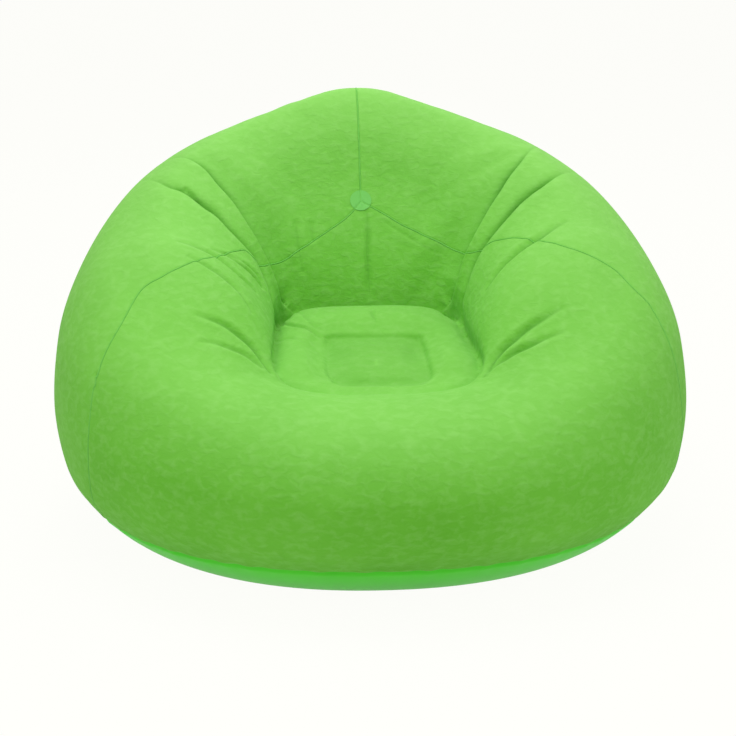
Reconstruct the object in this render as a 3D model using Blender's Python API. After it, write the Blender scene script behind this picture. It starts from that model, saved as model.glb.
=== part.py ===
"""Round air chair of flocked PVC film, pumped up through a two-stage valve.

Three flocked panels are welded edge to edge over inner tapes, with a smooth base
panel below. Four webs tie the welded seat pad down to the base inside the chamber.
Metres, +Z up, the front of the seat towards -Y, origin under the middle of the base.
"""
import math

import bmesh
import bpy
import numpy as np
from mathutils import Matrix, Vector
from mathutils.bvhtree import BVHTree

# Overall sizes of the pumped-up chair
CHAIR_WIDTH = 1.062
CHAIR_DEPTH = 1.044
CHAIR_HEIGHT = 0.687
BASE_SEAM_HEIGHT = 0.080
BASE_FLAT_SHARE = 0.640

# Film and clearances
SKIN_WALL = 0.0012
BASE_WALL = 0.0008
TAPE_WALL = 0.0006
WEB_WALL = 0.0006
FIT = 0.0003
SEAM_GAP = 0.0003
BASE_LAP = 0.012
TAPE_WIDTH = 0.016

# Seat pad weld and the webs under it
WELD_WIDTH = 0.160
WELD_DEPTH = 0.170
WELD_CENTRE_Y = -0.095
WELD_PAD_SHARE = 0.75
WEB_SPAN_SHARE = 0.66
WEB_FLANGE = 0.008

# Folds that the taut film makes between the backrest and the arms
CREASE_DEPTH = 0.030
CREASE_REACH = 0.080
PUCKER_DEPTH = 0.012
PUCKER_REACH = 0.060

# Round patch where the three panels meet on the backrest
PATCH_RADIUS = 0.019
PATCH_WALL = 0.0008
PATCH_Y = 0.238

# Two-stage valve on the back, square to the film
VALVE_FLAT_RADIUS = 0.098
VALVE_FLAT_BLEND = 0.040
COLLAR_RADIUS = 0.032
COLLAR_EDGE = 0.0012
COLLAR_HEIGHT = 0.0030
COLLAR_STEP = 0.005
SOCKET_RADIUS = 0.018
SOCKET_WALL = 0.0050
SOCKET_DEPTH = 0.016
DOUBLER_RADIUS = 0.036
DOUBLER_WALL = 0.0008
GASKET_RADIUS = 0.0220
GASKET_WIDTH = 0.0030
GASKET_HEIGHT = 0.0015
INSERT_RIM_RADIUS = 0.0235
INSERT_RIM_HEIGHT = 0.0022
INSERT_LENGTH = 0.0150
INSERT_BORE_RADIUS = 0.0090
INSERT_SEAT_RADIUS = 0.0065
INSERT_SEAT_WALL = 0.0030
CAP_RADIUS = 0.0125
CAP_HEIGHT = 0.0020
CAP_PLUG_LENGTH = 0.0080
CAP_PLUG_WALL = 0.0014
CAP_TAB_LENGTH = 0.0070
CAP_TAB_WIDTH = 0.0080
FLAP_RADIUS = 0.0085
FLAP_WALL = 0.0008
FLAP_HINGE_GAP = 0.0002
RETAINER_GAP = 0.0006
RETAINER_LENGTH = 0.0035
RETAINER_WIDTH = 0.0100
RETAINER_HEIGHT = 0.0014
STRAP_WIDTH = 0.0050
STRAP_WALL = 0.0010
STRAP_FOOT = 0.0060
STRAP_ARCH = 0.0030

# Shape of the skin, as rings from the base seam up over the crown and down to the seat.
# Half width, then y of the widest point, front and rear, as shares of the half width and
# half depth; then the front, side and rear heights and the peak's fall as shares of the
# height; then the squareness of the ring and how much it narrows to the rear.
RING_SHARES = {
    "base_seam": (0.904, 0.000, -0.891, 0.891, 0.116, 0.116, 0.116, 0.000, 2.20, 0.00),
    "skirt": (0.970, 0.000, -0.973, 0.962, 0.189, 0.201, 0.218, 0.000, 2.20, 0.00),
    "belly": (1.000, 0.000, -1.000, 1.000, 0.284, 0.342, 0.393, 0.000, 2.08, 0.00),
    "flank": (0.981, 0.000, -0.958, 0.977, 0.364, 0.488, 0.597, 0.015, 2.05, 0.00),
    "shoulder": (0.915, 0.000, -0.872, 0.916, 0.415, 0.611, 0.793, 0.058, 2.15, 0.00),
    "crown_outer": (0.806, 0.000, -0.757, 0.820, 0.440, 0.696, 0.939, 0.109, 2.30, 0.00),
    "crown": (0.659, -0.038, -0.642, 0.693, 0.445, 0.728, 1.000, 0.146, 2.50, 0.00),
    "crown_inner": (0.505, -0.096, -0.556, 0.579, 0.437, 0.687, 0.917, 0.109, 2.90, 0.02),
    "wall_top": (0.390, -0.153, -0.502, 0.483, 0.425, 0.597, 0.764, 0.044, 3.60, 0.06),
    "wall_low": (0.335, -0.192, -0.475, 0.345, 0.419, 0.502, 0.597, 0.000, 4.60, 0.10),
    "seat_edge": (0.309, -0.230, -0.460, 0.245, 0.416, 0.429, 0.466, 0.000, 5.50, 0.12),
    "seat_roll": (0.275, -0.230, -0.425, 0.192, 0.426, 0.454, 0.498, 0.000, 4.50, 0.10),
    "seat_pad": (0.207, -0.211, -0.383, 0.086, 0.434, 0.467, 0.499, 0.000, 4.50, 0.06),
    "seat_weld": (0.151, -0.182, -0.345, -0.019, 0.421, 0.441, 0.464, 0.000, 5.50, 0.00),
    "pad_inner": (0.113, -0.182, -0.307, -0.067, 0.428, 0.444, 0.461, 0.000, 4.00, 0.00),
    "centre": (0.000, -0.182, -0.182, -0.182, 0.450, 0.450, 0.450, 0.000, 2.00, 0.00),
}
RING_NAMES = list(RING_SHARES)
ROWS_PER_RING = (2, 2, 2, 2, 2, 2, 2, 2, 2, 2, 1, 1, 1, 1, 1)

# Two folds on each side: the angles of the outer and inner fold in degrees from the side
# to the rear, then their depths and their reach as shares of the deepest and the widest.
CREASE_SHARES = {
    "shoulder": (26, 40, 0.00, 0.00, 0.62, 0.75),
    "crown_outer": (26, 38, 0.13, 0.13, 0.62, 0.75),
    "crown": (25, 37, 0.23, 0.30, 0.75, 0.88),
    "crown_inner": (23, 37, 0.47, 0.67, 0.75, 1.00),
    "wall_top": (26, 40, 0.53, 1.00, 0.62, 1.00),
    "wall_low": (36, 45, 0.20, 0.87, 0.50, 0.75),
    "seat_edge": (40, 47, 0.00, 0.20, 0.38, 0.38),
    "seat_roll": (41, 48, 0.00, 0.00, 0.38, 0.38),
}
PUCKER_ROW_SHARE = 0.585
PUCKER_ANGLE = math.radians(-42)

# Mesh columns on each half: front to outer fold, between the folds, inner fold to rear.
# From one ring of the seat inwards every second column is enough.
COLUMNS = (11, 3, 7)
COARSE_FROM = "seat_roll"
VALVE_COLUMN = 3
VALVE_ROW = 4

# Seams of the side panels in plan, from the patch over each arm and down to the base, as
# shares of the half width and half depth. The patch's own place is their first point.
LEFT_SEAM_SHARES = ((-0.235, 0.358), (-0.324, 0.297), (-0.358, 0.172), (-0.443, 0.038),
                    (-0.571, -0.163), (-0.708, -0.268), (-0.832, -0.450), (-0.895, -0.575),
                    (-1.200, -1.200))
RIGHT_SEAM_SHARES = ((0.235, 0.364), (0.320, 0.307), (0.367, 0.192), (0.448, 0.073),
                     (0.565, -0.096), (0.753, -0.201), (0.917, -0.354), (1.300, -0.750))

# Corners of the faces that close the I-shaped end of a web
WEB_END_FACES = ((0, 1, 2, 3, 10, 11), (10, 3, 4, 9), (9, 4, 5, 6, 7, 8))

HALF_WIDTH = CHAIR_WIDTH / 2
HALF_DEPTH = CHAIR_DEPTH / 2
FLOCK_GREEN = (0.208, 0.590, 0.093)
VINYL_GREEN = (0.110, 0.451, 0.064)
TAPE_GREEN = (0.180, 0.480, 0.120)
WEB_WHITE = (0.780, 0.800, 0.760)
VALVE_WHITE = (0.720, 0.760, 0.700)
VALVE_CLEAR = (0.620, 0.680, 0.640)
RUBBER_GREY = (0.060, 0.060, 0.060)


def clear_scene():
    for item in list(bpy.data.objects):
        bpy.data.objects.remove(item)


def material(name, colour, roughness):
    made = bpy.data.materials.new(name)
    made.use_nodes = True
    shader = made.node_tree.nodes["Principled BSDF"]
    shader.inputs["Base Color"].default_value = (*colour, 1.0)
    shader.inputs["Roughness"].default_value = roughness
    shader.inputs["Metallic"].default_value = 0.0
    made.diffuse_color = (*colour, 1.0)
    return made


def add_object(name, mesh, finish=None, parent=None):
    item = bpy.data.objects.new(name, mesh)
    bpy.context.scene.collection.objects.link(item)
    if finish:
        mesh.materials.append(finish)
    if parent:
        item.parent = parent
    return item


def hide_helper(item):
    item.hide_render = True
    item.display_type = "WIRE"


def mesh_from(name, points, faces):
    mesh = bpy.data.meshes.new(name)
    mesh.from_pydata([tuple(p) for p in points], [], faces)
    work = bmesh.new()
    work.from_mesh(mesh)
    bmesh.ops.recalc_face_normals(work, faces=work.faces)
    work.to_mesh(mesh)
    work.free()
    return mesh


def shade_round(item, angle):
    item.data.shade_smooth()
    item.data.set_sharp_from_angle(angle=angle)


def smooth_rows(table, at):
    """Read rows of a table at fractional row numbers, with no overshoot between rows."""
    steps = np.diff(table, axis=0)
    before, after = steps[:-1], steps[1:]
    rising = before * after > 0
    total = np.where(rising, before + after, 1.0)
    slopes = np.zeros_like(table)
    slopes[1:-1] = np.where(rising, 2 * before * after / total, 0.0)
    slopes[0], slopes[-1] = steps[0], steps[-1]
    low = np.clip(np.floor(at).astype(int), 0, len(table) - 2)
    part = (at - low)[..., None]
    value = table[low] + part * slopes[low]
    bend = 3 * steps[low] - 2 * slopes[low] - slopes[low + 1]
    turn = slopes[low] + slopes[low + 1] - 2 * steps[low]
    return value + part ** 2 * bend + part ** 3 * turn


def ring_sizes():
    units = (HALF_WIDTH, HALF_DEPTH, HALF_DEPTH, HALF_DEPTH,
             CHAIR_HEIGHT, CHAIR_HEIGHT, CHAIR_HEIGHT, CHAIR_HEIGHT, 1, 1)
    sizes = np.array(list(RING_SHARES.values())) * units
    sizes[0, 4:7] = BASE_SEAM_HEIGHT
    weld = RING_NAMES.index("seat_weld")
    for row, share in ((weld, 1), (weld + 1, WELD_PAD_SHARE), (weld + 2, 0)):
        reach = share * WELD_DEPTH / 2
        sizes[row, :4] = (share * WELD_WIDTH / 2, WELD_CENTRE_Y,
                          WELD_CENTRE_Y - reach, WELD_CENTRE_Y + reach)
    return sizes


def crease_sizes():
    first = RING_NAMES.index(next(iter(CREASE_SHARES)))
    rows = list(CREASE_SHARES.values())
    rows = [rows[0]] * first + rows + [rows[-1]] * (len(RING_NAMES) - first - len(rows))
    turn = math.radians(1)
    return np.array(rows) * (turn, turn, CREASE_DEPTH, CREASE_DEPTH, CREASE_REACH, CREASE_REACH)


RINGS = ring_sizes()
CREASES = crease_sizes()


def signed_power(value, power):
    return np.sign(value) * np.abs(value) ** power


def smooth_skin(angle, ring):
    """Point of the skin without folds, at an angle from +X and a ring number."""
    size = np.moveaxis(smooth_rows(RINGS, ring), -1, 0)
    half, y_wide, y_front, y_rear, z_front, z_side, z_rear, fall, square, narrow = size
    across, along = np.cos(angle), np.sin(angle)
    reach = signed_power(along, 2 / square)
    x = half * signed_power(across, 2 / square) * (1 - narrow * reach)
    y = y_wide + np.where(along > 0, y_rear - y_wide, y_wide - y_front) * reach
    tilt = (z_rear - z_front) / 2
    crown = (z_rear + z_front) / 2 - z_side
    peak = fall * np.abs(across) * np.clip(along, 0, 1) ** 3
    return np.stack([x, y, z_side + tilt * along + crown * along ** 2 - peak], -1)


def skin_outward(angle, ring):
    """Outward direction of the smooth skin and its size per radian."""
    nudge = 1e-4
    inside = np.clip(ring, nudge, len(RINGS) - 1 - 2 * nudge)
    turn = smooth_skin(angle + nudge, ring) - smooth_skin(angle - nudge, ring)
    climb = smooth_skin(angle, inside + nudge) - smooth_skin(angle, inside - nudge)
    out = np.cross(turn, climb)
    out /= np.linalg.norm(out, axis=-1, keepdims=True)
    return out, np.linalg.norm(turn, axis=-1) / (2 * nudge)


def folded_skin(angle, ring):
    """Point of the skin with its folds and the pinched front corners of the seat."""
    point = smooth_skin(angle, ring)
    out, pace = skin_outward(angle, ring)
    crease = np.moveaxis(smooth_rows(CREASES, ring), -1, 0)
    push = np.zeros_like(pace)
    for side in (0, 1):
        for fold in (0, 1):
            at = math.pi - crease[fold] if side else crease[fold]
            away = np.abs(np.arctan2(np.sin(angle - at), np.cos(angle - at))) * pace
            closeness = np.clip(1 - away / crease[4 + fold], 0, None)
            push += crease[2 + fold] * closeness ** 2
        corner_angle = math.pi - PUCKER_ANGLE if side else PUCKER_ANGLE
        corner_ring = np.array(PUCKER_ROW_SHARE * (len(RINGS) - 1))
        corner = smooth_skin(np.array(corner_angle), corner_ring)
        away = np.linalg.norm(point - corner, axis=-1) / PUCKER_REACH
        push += PUCKER_DEPTH * np.exp(-4 * away ** 2)
    return point - out * push[..., None]


def ring_angles(ring):
    """Mesh columns at one ring, from the front round by +X, drawn to the folds."""
    crease = smooth_rows(CREASES, np.array(ring))
    stops = (-math.pi / 2, crease[0], crease[1], math.pi / 2)
    right = [np.linspace(stops[i], stops[i + 1], COLUMNS[i], endpoint=False) for i in range(3)]
    right = np.concatenate(right)
    return np.concatenate([right, [math.pi / 2], math.pi - right[:0:-1]])


def valve_frame():
    """Middle of the valve on the film, with its X level, Y up and Z outwards."""
    row = skin_row_numbers()[VALVE_ROW]
    angle = ring_angles(row)[sum(COLUMNS) + VALVE_COLUMN]
    middle = smooth_skin(np.array(angle), np.array(row))
    out = Vector(skin_outward(np.array(angle), np.array(row))[0])
    level = Vector((-out.y, out.x, 0)).normalized()
    up = out.cross(level)
    turn = Matrix((level, up, out)).transposed()
    return Matrix.Translation(middle) @ turn.to_4x4()


def skin_row_numbers():
    rows = []
    for ring, count in enumerate(ROWS_PER_RING):
        rows += [ring + i / count for i in range(count)]
    return rows


def flatten_at_valve(points):
    """The stiff collar holds the film flat round the valve."""
    frame = valve_frame()
    middle, out = np.array(frame.translation), np.array(frame.to_3x3().col[2])
    away = points - middle
    height = away @ out
    radius = np.linalg.norm(away - height[..., None] * out, axis=-1)
    hold = np.clip(1 - (radius - VALVE_FLAT_RADIUS) / VALVE_FLAT_BLEND, 0, 1)
    hold = hold * hold * (3 - 2 * hold)
    hold = np.where(np.abs(height) < VALVE_FLAT_RADIUS, hold, 0)
    return points - out * (height * hold)[..., None]


def skin_grid():
    """Outer face of the skin: rows of points from the base seam, and the centre point."""
    rows = [folded_skin(ring_angles(r), np.full(2 * sum(COLUMNS), r)) for r in skin_row_numbers()]
    centre = smooth_skin(np.array(0.0), np.array(len(RINGS) - 1.0))
    return flatten_at_valve(np.array(rows)), centre


def grid_outward(grid, centre):
    """Outward direction at each point of the grid."""
    turn = np.roll(grid, -1, 1) - np.roll(grid, 1, 1)
    padded = np.concatenate([grid[:1], grid, np.broadcast_to(centre, grid[:1].shape)])
    climb = padded[2:] - padded[:-2]
    out = np.cross(turn, climb)
    return out / np.linalg.norm(out, axis=-1, keepdims=True)


def ring_faces(lower, upper, columns):
    return [(lower + i, lower + (i + 1) % columns, upper + (i + 1) % columns, upper + i)
            for i in range(columns)]


def split_faces(lower, upper, columns):
    """Triangles between two rings, split the same way on both halves of the chair."""
    faces = []
    for i, (a, b, c, d) in enumerate(ring_faces(lower, upper, columns)):
        right = i < columns // 2
        faces += [(a, b, c), (a, c, d)] if right else [(a, b, d), (b, c, d)]
    return faces


def halving_faces(lower, upper, columns):
    """Triangles from a ring to one with half as many points."""
    faces = []
    for i in range(0, columns, 2):
        first, middle, last = lower + i, lower + i + 1, lower + (i + 2) % columns
        here, there = upper + i // 2, upper + (i // 2 + 1) % (columns // 2)
        faces += [(first, middle, here), (middle, there, here), (middle, last, there)]
    return faces


def closed_bowl(name, outer_rows, outer_pole, inner_rows, inner_pole):
    """Closed shell from two stacks of rings, each with its own pole, joined at ring 0."""
    points, faces, starts = [], [], []
    for rows, pole in ((outer_rows, outer_pole), (inner_rows, inner_pole)):
        starts.append(len(points))
        for i, row in enumerate(rows):
            start, columns = len(points), len(row)
            points.extend(row)
            if i + 1 == len(rows):
                faces += [(start + k, start + (k + 1) % columns, start + columns)
                          for k in range(columns)]
            elif len(rows[i + 1]) == columns:
                faces += split_faces(start, start + columns, columns)
            else:
                faces += halving_faces(start, start + columns, columns)
        points.append(pole)
    faces += ring_faces(starts[1], starts[0], len(outer_rows[0]))
    return mesh_from(name, points, faces)


def skin_shell(name, near, far):
    """Closed shell that follows the skin between two depths below its outer face."""
    grid, centre = skin_grid()
    out = grid_outward(grid, centre)
    up = np.array((0, 0, 1))
    coarse = skin_row_numbers().index(RING_NAMES.index(COARSE_FROM))
    faces = [grid - depth * out for depth in (near, far)]
    faces = [[row if i < coarse else row[::2] for i, row in enumerate(rows)] for rows in faces]
    return closed_bowl(name, faces[0], centre - near * up, faces[1], centre - far * up)


def seam_line(shares):
    """Plan points of one side seam, from the patch outwards."""
    points = [Vector((0, PATCH_Y))]
    return points + [Vector((x * HALF_WIDTH, y * HALF_DEPTH)) for x, y in shares]


def offset_line(points, distance):
    """Plan line moved to its left by a distance, mitred at each bend."""
    moved = []
    for i, point in enumerate(points):
        first = (point - points[i - 1]) if i else (points[1] - point)
        last = (points[i + 1] - point) if i + 1 < len(points) else first
        sides = [Vector((-d.y, d.x)).normalized() for d in (first, last)]
        mid = (sides[0] + sides[1]).normalized()
        moved.append(point + mid * (distance / mid.dot(sides[0])))
    return moved


def prism(name, outline, low, high):
    """Hidden upright cutter over a plan outline."""
    count = len(outline)
    points = [(p.x, p.y, z) for z in (low, high) for p in outline]
    faces = [tuple(range(count)), tuple(range(count, 2 * count))]
    faces += ring_faces(0, count, count)
    item = add_object(name, mesh_from(name, points, faces))
    hide_helper(item)
    return item


def trim(item, cutter, operation):
    change = item.modifiers.new(cutter.name, "BOOLEAN")
    change.operation = operation
    change.object = cutter


def panel_outlines():
    """Plan areas of the three panels, a seam gap apart."""
    far = 2 * CHAIR_WIDTH
    gap = SEAM_GAP / 2
    left, right = seam_line(LEFT_SEAM_SHARES), seam_line(RIGHT_SEAM_SHARES)
    start = PATCH_Y + SEAM_GAP
    rear_left = [Vector((-gap, far)), Vector((-gap, start))]
    rear_left += offset_line(left, -gap)[1:] + [Vector((-far, left[-1].y)), Vector((-far, far))]
    rear_right = [Vector((gap, far)), Vector((gap, start))]
    rear_right += offset_line(right, gap)[1:] + [Vector((far, right[-1].y)), Vector((far, far))]
    front = offset_line(left, gap)[:0:-1] + [Vector((0, PATCH_Y - SEAM_GAP))]
    front += offset_line(right, -gap)[1:] + [Vector((far, right[-1].y)), Vector((far, -far)),
                                             Vector((-far, -far)), Vector((-far, left[-1].y))]
    return {"rear_left_panel": rear_left, "rear_right_panel": rear_right, "front_panel": front}


def build_panels(finish):
    low, high = -CHAIR_HEIGHT, 2 * CHAIR_HEIGHT
    panels = {}
    for name, outline in panel_outlines().items():
        panels[name] = add_object(name, skin_shell(name, 0, SKIN_WALL), finish)
        trim(panels[name], prism(name + "_cutter", outline, low, high), "INTERSECT")
        shade_round(panels[name], math.radians(50))
    return panels


def build_tapes(finish):
    """Inner tapes, welded under each seam and stopped short of the patch and the base lap."""
    near = SKIN_WALL + FIT
    low = BASE_SEAM_HEIGHT + 2 * BASE_LAP
    high = 2 * CHAIR_HEIGHT
    half = TAPE_WIDTH / 2
    rear = [Vector((0, PATCH_Y)), Vector((0, 2 * CHAIR_DEPTH))]
    lines = {"centre": rear, "left": seam_line(LEFT_SEAM_SHARES), "right": seam_line(RIGHT_SEAM_SHARES)}
    for name, line in lines.items():
        toward = (line[1] - line[0]).normalized()
        line = [line[0] + toward * TAPE_WIDTH] + line[1:]
        outline = offset_line(line, half) + offset_line(line, -half)[::-1]
        tape = add_object(name + "_seam_tape", skin_shell(name, near, near + TAPE_WALL), finish)
        trim(tape, prism(name + "_tape_cutter", outline, low, high), "INTERSECT")
        shade_round(tape, math.radians(50))


def base_arc(edge, share):
    """Rows of the base between its flat and the seam, as a round that meets the floor level."""
    radius = np.linalg.norm(edge[:, :2], axis=-1, keepdims=True)
    flat = BASE_FLAT_SHARE * radius
    full = 2 * np.arctan2(edge[:, 2:], radius - flat)
    turn = share * full
    out = flat + (radius - flat) * np.sin(turn) / np.sin(full)
    height = edge[:, 2:] * (1 - np.cos(turn)) / (1 - np.cos(full))
    return np.concatenate([edge[:, :2] / radius * out, height], axis=-1)


def build_base(finish):
    """Smooth base panel: flat on the floor, round at its edge, lapped inside the skin."""
    grid, centre = skin_grid()
    out = grid_outward(grid, centre)
    near = SKIN_WALL + FIT
    lap_share = BASE_LAP / np.linalg.norm(grid[1] - grid[0], axis=-1, keepdims=True)
    lap_top = grid[0] + (grid[1] - grid[0]) * lap_share
    lap_out = out[0] + (out[1] - out[0]) * lap_share
    edge = grid[0]
    below = base_arc(edge, 1 - SEAM_GAP * 2 / BASE_SEAM_HEIGHT)
    arc = [base_arc(edge, share) for share in (0.72, 0.4, 0.0)]
    hub = edge * (0.5, 0.5, 0.0) * BASE_FLAT_SHARE
    outer = [lap_top - near * lap_out, edge - near * out[0], below, *arc, hub]
    wall = BASE_WALL
    tilt = np.array((0, 0, wall))
    deep = near + wall
    slope = 1 - wall / (HALF_WIDTH * (1 - BASE_FLAT_SHARE))
    lifted = [base_arc(edge, share) * (slope, slope, 1) + tilt for share in (0.72, 0.4, 0.0)]
    inner = [lap_top - deep * lap_out, edge - deep * out[0] + tilt, *lifted, hub + tilt]
    floor = np.zeros(3)
    base = add_object("base_panel", closed_bowl("base_panel", outer, floor, inner, tilt), finish)
    shade_round(base, math.radians(40))


def film_height(tree, x, y, start, up):
    """Height of the first face met above or below a start height."""
    hit = tree.ray_cast(Vector((x, y, start)), Vector((0, 0, 1 if up else -1)))[0]
    return hit.z


def surface_tree(mesh):
    return BVHTree.FromPolygons([v.co for v in mesh.vertices], [p.vertices for p in mesh.polygons])


def seated_heights(stations, seat_height):
    """Heights of a flange's top at its stations, lowered where the film dips between them."""
    heights = [seat_height(along) for along in stations]
    lowered = list(heights)
    for i in range(len(stations) - 1):
        for part in np.linspace(0, 1, 17):
            along = stations[i] + part * (stations[i + 1] - stations[i])
            over = heights[i] + part * (heights[i + 1] - heights[i]) - seat_height(along)
            for end in (i, i + 1):
                lowered[end] = min(lowered[end], heights[end] - over)
    return lowered


def build_webs(finish):
    """Four upright webs of I section from the seat pad weld to the base."""
    tree = surface_tree(skin_shell("skin_inside", 0, SKIN_WALL))
    half_film, half_flange = WEB_WALL / 2, WEB_FLANGE / 2
    foot = BASE_WALL + FIT
    inset = FIT + half_flange
    runs = {
        "seat_web_front": ("x", WELD_CENTRE_Y - WELD_DEPTH / 2 + inset, 0, WELD_WIDTH),
        "seat_web_rear": ("x", WELD_CENTRE_Y + WELD_DEPTH / 2 - inset, 0, WELD_WIDTH),
        "seat_web_left": ("y", inset - WELD_WIDTH / 2, WELD_CENTRE_Y, WELD_DEPTH),
        "seat_web_right": ("y", WELD_WIDTH / 2 - inset, WELD_CENTRE_Y, WELD_DEPTH),
    }
    for name, (axis, across, middle, length) in runs.items():
        def place(along, side, z):
            return (along, across + side, z) if axis == "x" else (across + side, along, z)

        def seat_height(along):
            spots = [place(along, side, 0) for side in np.linspace(-half_flange, half_flange, 9)]
            return min(film_height(tree, x, y, CHAIR_HEIGHT / 6, True) for x, y, _ in spots) - FIT

        stations = np.linspace(-0.5, 0.5, 7) * length * WEB_SPAN_SHARE + middle
        points, faces = [], []
        for along, top in zip(stations, seated_heights(stations, seat_height)):
            web_top, web_foot = top - WEB_WALL, foot + WEB_WALL
            section = [(-half_flange, top), (half_flange, top), (half_flange, web_top),
                       (half_film, web_top), (half_film, web_foot), (half_flange, web_foot),
                       (half_flange, foot), (-half_flange, foot), (-half_flange, web_foot),
                       (-half_film, web_foot), (-half_film, web_top), (-half_flange, web_top)]
            points += [place(along, side, z) for side, z in section]
        count = len(section)
        for i in range(len(stations) - 1):
            faces += ring_faces(i * count, (i + 1) * count, count)
        last = (len(stations) - 1) * count
        for start in (0, last):
            faces += [tuple(start + k for k in corners) for corners in WEB_END_FACES]
        add_object(name, mesh_from(name, points, faces), finish)


def build_patch(finish):
    """Thin round patch that follows the film over the point where the panels meet."""
    tree = surface_tree(skin_shell("skin_patch", 0, SKIN_WALL))
    height = film_height(tree, 0, PATCH_Y, 2 * CHAIR_HEIGHT, False)
    middle = Vector((0, PATCH_Y, height))
    low = film_height(tree, 0, PATCH_Y - PATCH_RADIUS, 2 * CHAIR_HEIGHT, False)
    high = film_height(tree, 0, PATCH_Y + PATCH_RADIUS, 2 * CHAIR_HEIGHT, False)
    slope = Vector((0, 2 * PATCH_RADIUS, high - low)).normalized()
    out = Vector((1, 0, 0)).cross(slope)
    sides, rings = 24, (1.0, 0.72, 0.36)

    def place(radius, angle, lift):
        spot = middle + Vector((1, 0, 0)) * (radius * math.cos(angle)) + slope * (radius * math.sin(angle))
        start = spot + out * PATCH_RADIUS
        hit = tree.ray_cast(start, -out)[0]
        return hit + out * (lift + FIT)

    bottoms = [[place(r * PATCH_RADIUS, 2 * math.pi * i / sides, 0) for i in range(sides)] for r in rings]
    tops = [[place(r * PATCH_RADIUS, 2 * math.pi * i / sides, PATCH_WALL) for i in range(sides)]
            for r in rings]
    patch = add_object("pole_patch", closed_bowl("pole_patch", tops, place(0, 0, PATCH_WALL),
                                                 bottoms, place(0, 0, 0)), finish)
    shade_round(patch, math.radians(40))


def turned(name, profile, segments, finish, parent):
    """Body of revolution about Z from a closed profile of radius and height points."""
    points, faces, rings = [], [], []
    for radius, height in profile:
        start = len(points)
        count = segments if radius > 0 else 1
        turns = [2 * math.pi * i / segments for i in range(count)]
        points += [(radius * math.cos(t), radius * math.sin(t), height) for t in turns]
        rings.append((start, count))
    for (first, many), (second, other) in zip(rings, rings[1:] + rings[:1]):
        if many == other == 1:
            continue
        for i in range(segments):
            j = (i + 1) % segments
            corners = [first + (i % many), first + (j % many), second + (j % other), second + (i % other)]
            faces.append(tuple(dict.fromkeys(corners)))
    item = add_object(name, mesh_from(name, points, faces), finish, parent)
    shade_round(item, math.radians(35))
    return item


def block(low, high):
    corners = [(x, y, z) for z in (low[2], high[2])
               for x, y in ((low[0], low[1]), (high[0], low[1]), (high[0], high[1]), (low[0], high[1]))]
    faces = [(0, 1, 2, 3), (4, 5, 6, 7)] + ring_faces(0, 4, 4)
    return corners, faces


def build_valve(panel, hard, clear, rubber, film):
    frame = valve_frame()
    axis = bpy.data.objects.new("valve_axis", None)
    bpy.context.scene.collection.objects.link(axis)
    axis.matrix_world = frame
    neck = SOCKET_RADIUS + SOCKET_WALL
    hole = neck + FIT
    collar_top = FIT + COLLAR_HEIGHT
    turned("valve_flange", [
        (SOCKET_RADIUS, collar_top), (COLLAR_RADIUS - COLLAR_STEP, collar_top),
        (COLLAR_RADIUS - COLLAR_STEP / 2, FIT + COLLAR_EDGE), (COLLAR_RADIUS, FIT + COLLAR_EDGE),
        (COLLAR_RADIUS, FIT), (neck, FIT), (neck, -SOCKET_DEPTH), (SOCKET_RADIUS, -SOCKET_DEPTH)],
        32, hard, axis)
    under = -SKIN_WALL - FIT
    turned("valve_doubler", [(DOUBLER_RADIUS, under), (DOUBLER_RADIUS, under - DOUBLER_WALL),
                             (hole, under - DOUBLER_WALL), (hole, under)], 32, film, axis)
    cutter = turned("valve_hole", [(0, neck), (hole, neck), (hole, -neck), (0, -neck)], 32, None, axis)
    hide_helper(cutter)
    trim(panel, cutter, "DIFFERENCE")

    seal = collar_top + FIT
    turned("valve_gasket", [(GASKET_RADIUS, seal), (GASKET_RADIUS, seal + GASKET_HEIGHT),
                            (GASKET_RADIUS - GASKET_WIDTH, seal + GASKET_HEIGHT),
                            (GASKET_RADIUS - GASKET_WIDTH, seal)], 32, rubber, axis)
    rim = seal + GASKET_HEIGHT + FIT
    top, end = rim + INSERT_RIM_HEIGHT, rim - INSERT_LENGTH
    ledge = end + INSERT_SEAT_WALL
    plug = SOCKET_RADIUS - FIT
    turned("valve_insert", [
        (INSERT_BORE_RADIUS, top), (INSERT_RIM_RADIUS, top), (INSERT_RIM_RADIUS, rim), (plug, rim),
        (plug, end), (INSERT_SEAT_RADIUS, end), (INSERT_SEAT_RADIUS, ledge),
        (INSERT_BORE_RADIUS, ledge)], 32, hard, axis)
    build_cap(top + FIT, clear, axis)
    build_strap(top + FIT, clear, axis)
    build_flap(end - FIT, rubber, hard, axis)


def build_cap(seat, finish, parent):
    """Stopper with a hollow plug and a finger tab on its upper side."""
    plug = INSERT_BORE_RADIUS - FIT
    disc_top, plug_end = seat + CAP_HEIGHT, seat - CAP_PLUG_LENGTH
    cap = turned("valve_cap", [
        (0, disc_top), (CAP_RADIUS, disc_top), (CAP_RADIUS, seat), (plug, seat), (plug, plug_end),
        (plug - CAP_PLUG_WALL, plug_end), (plug - CAP_PLUG_WALL, seat), (0, seat)], 32, finish, parent)
    half = CAP_TAB_WIDTH / 2
    inner = CAP_RADIUS / 2
    low = (-half, inner, seat + CAP_HEIGHT / 4)
    high = (half, CAP_RADIUS + CAP_TAB_LENGTH, disc_top - CAP_HEIGHT / 4)
    points, faces = block(low, high)
    tab = add_object("cap_tab", mesh_from("cap_tab", points, faces), None, parent)
    hide_helper(tab)
    trim(cap, tab, "UNION")


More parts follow.
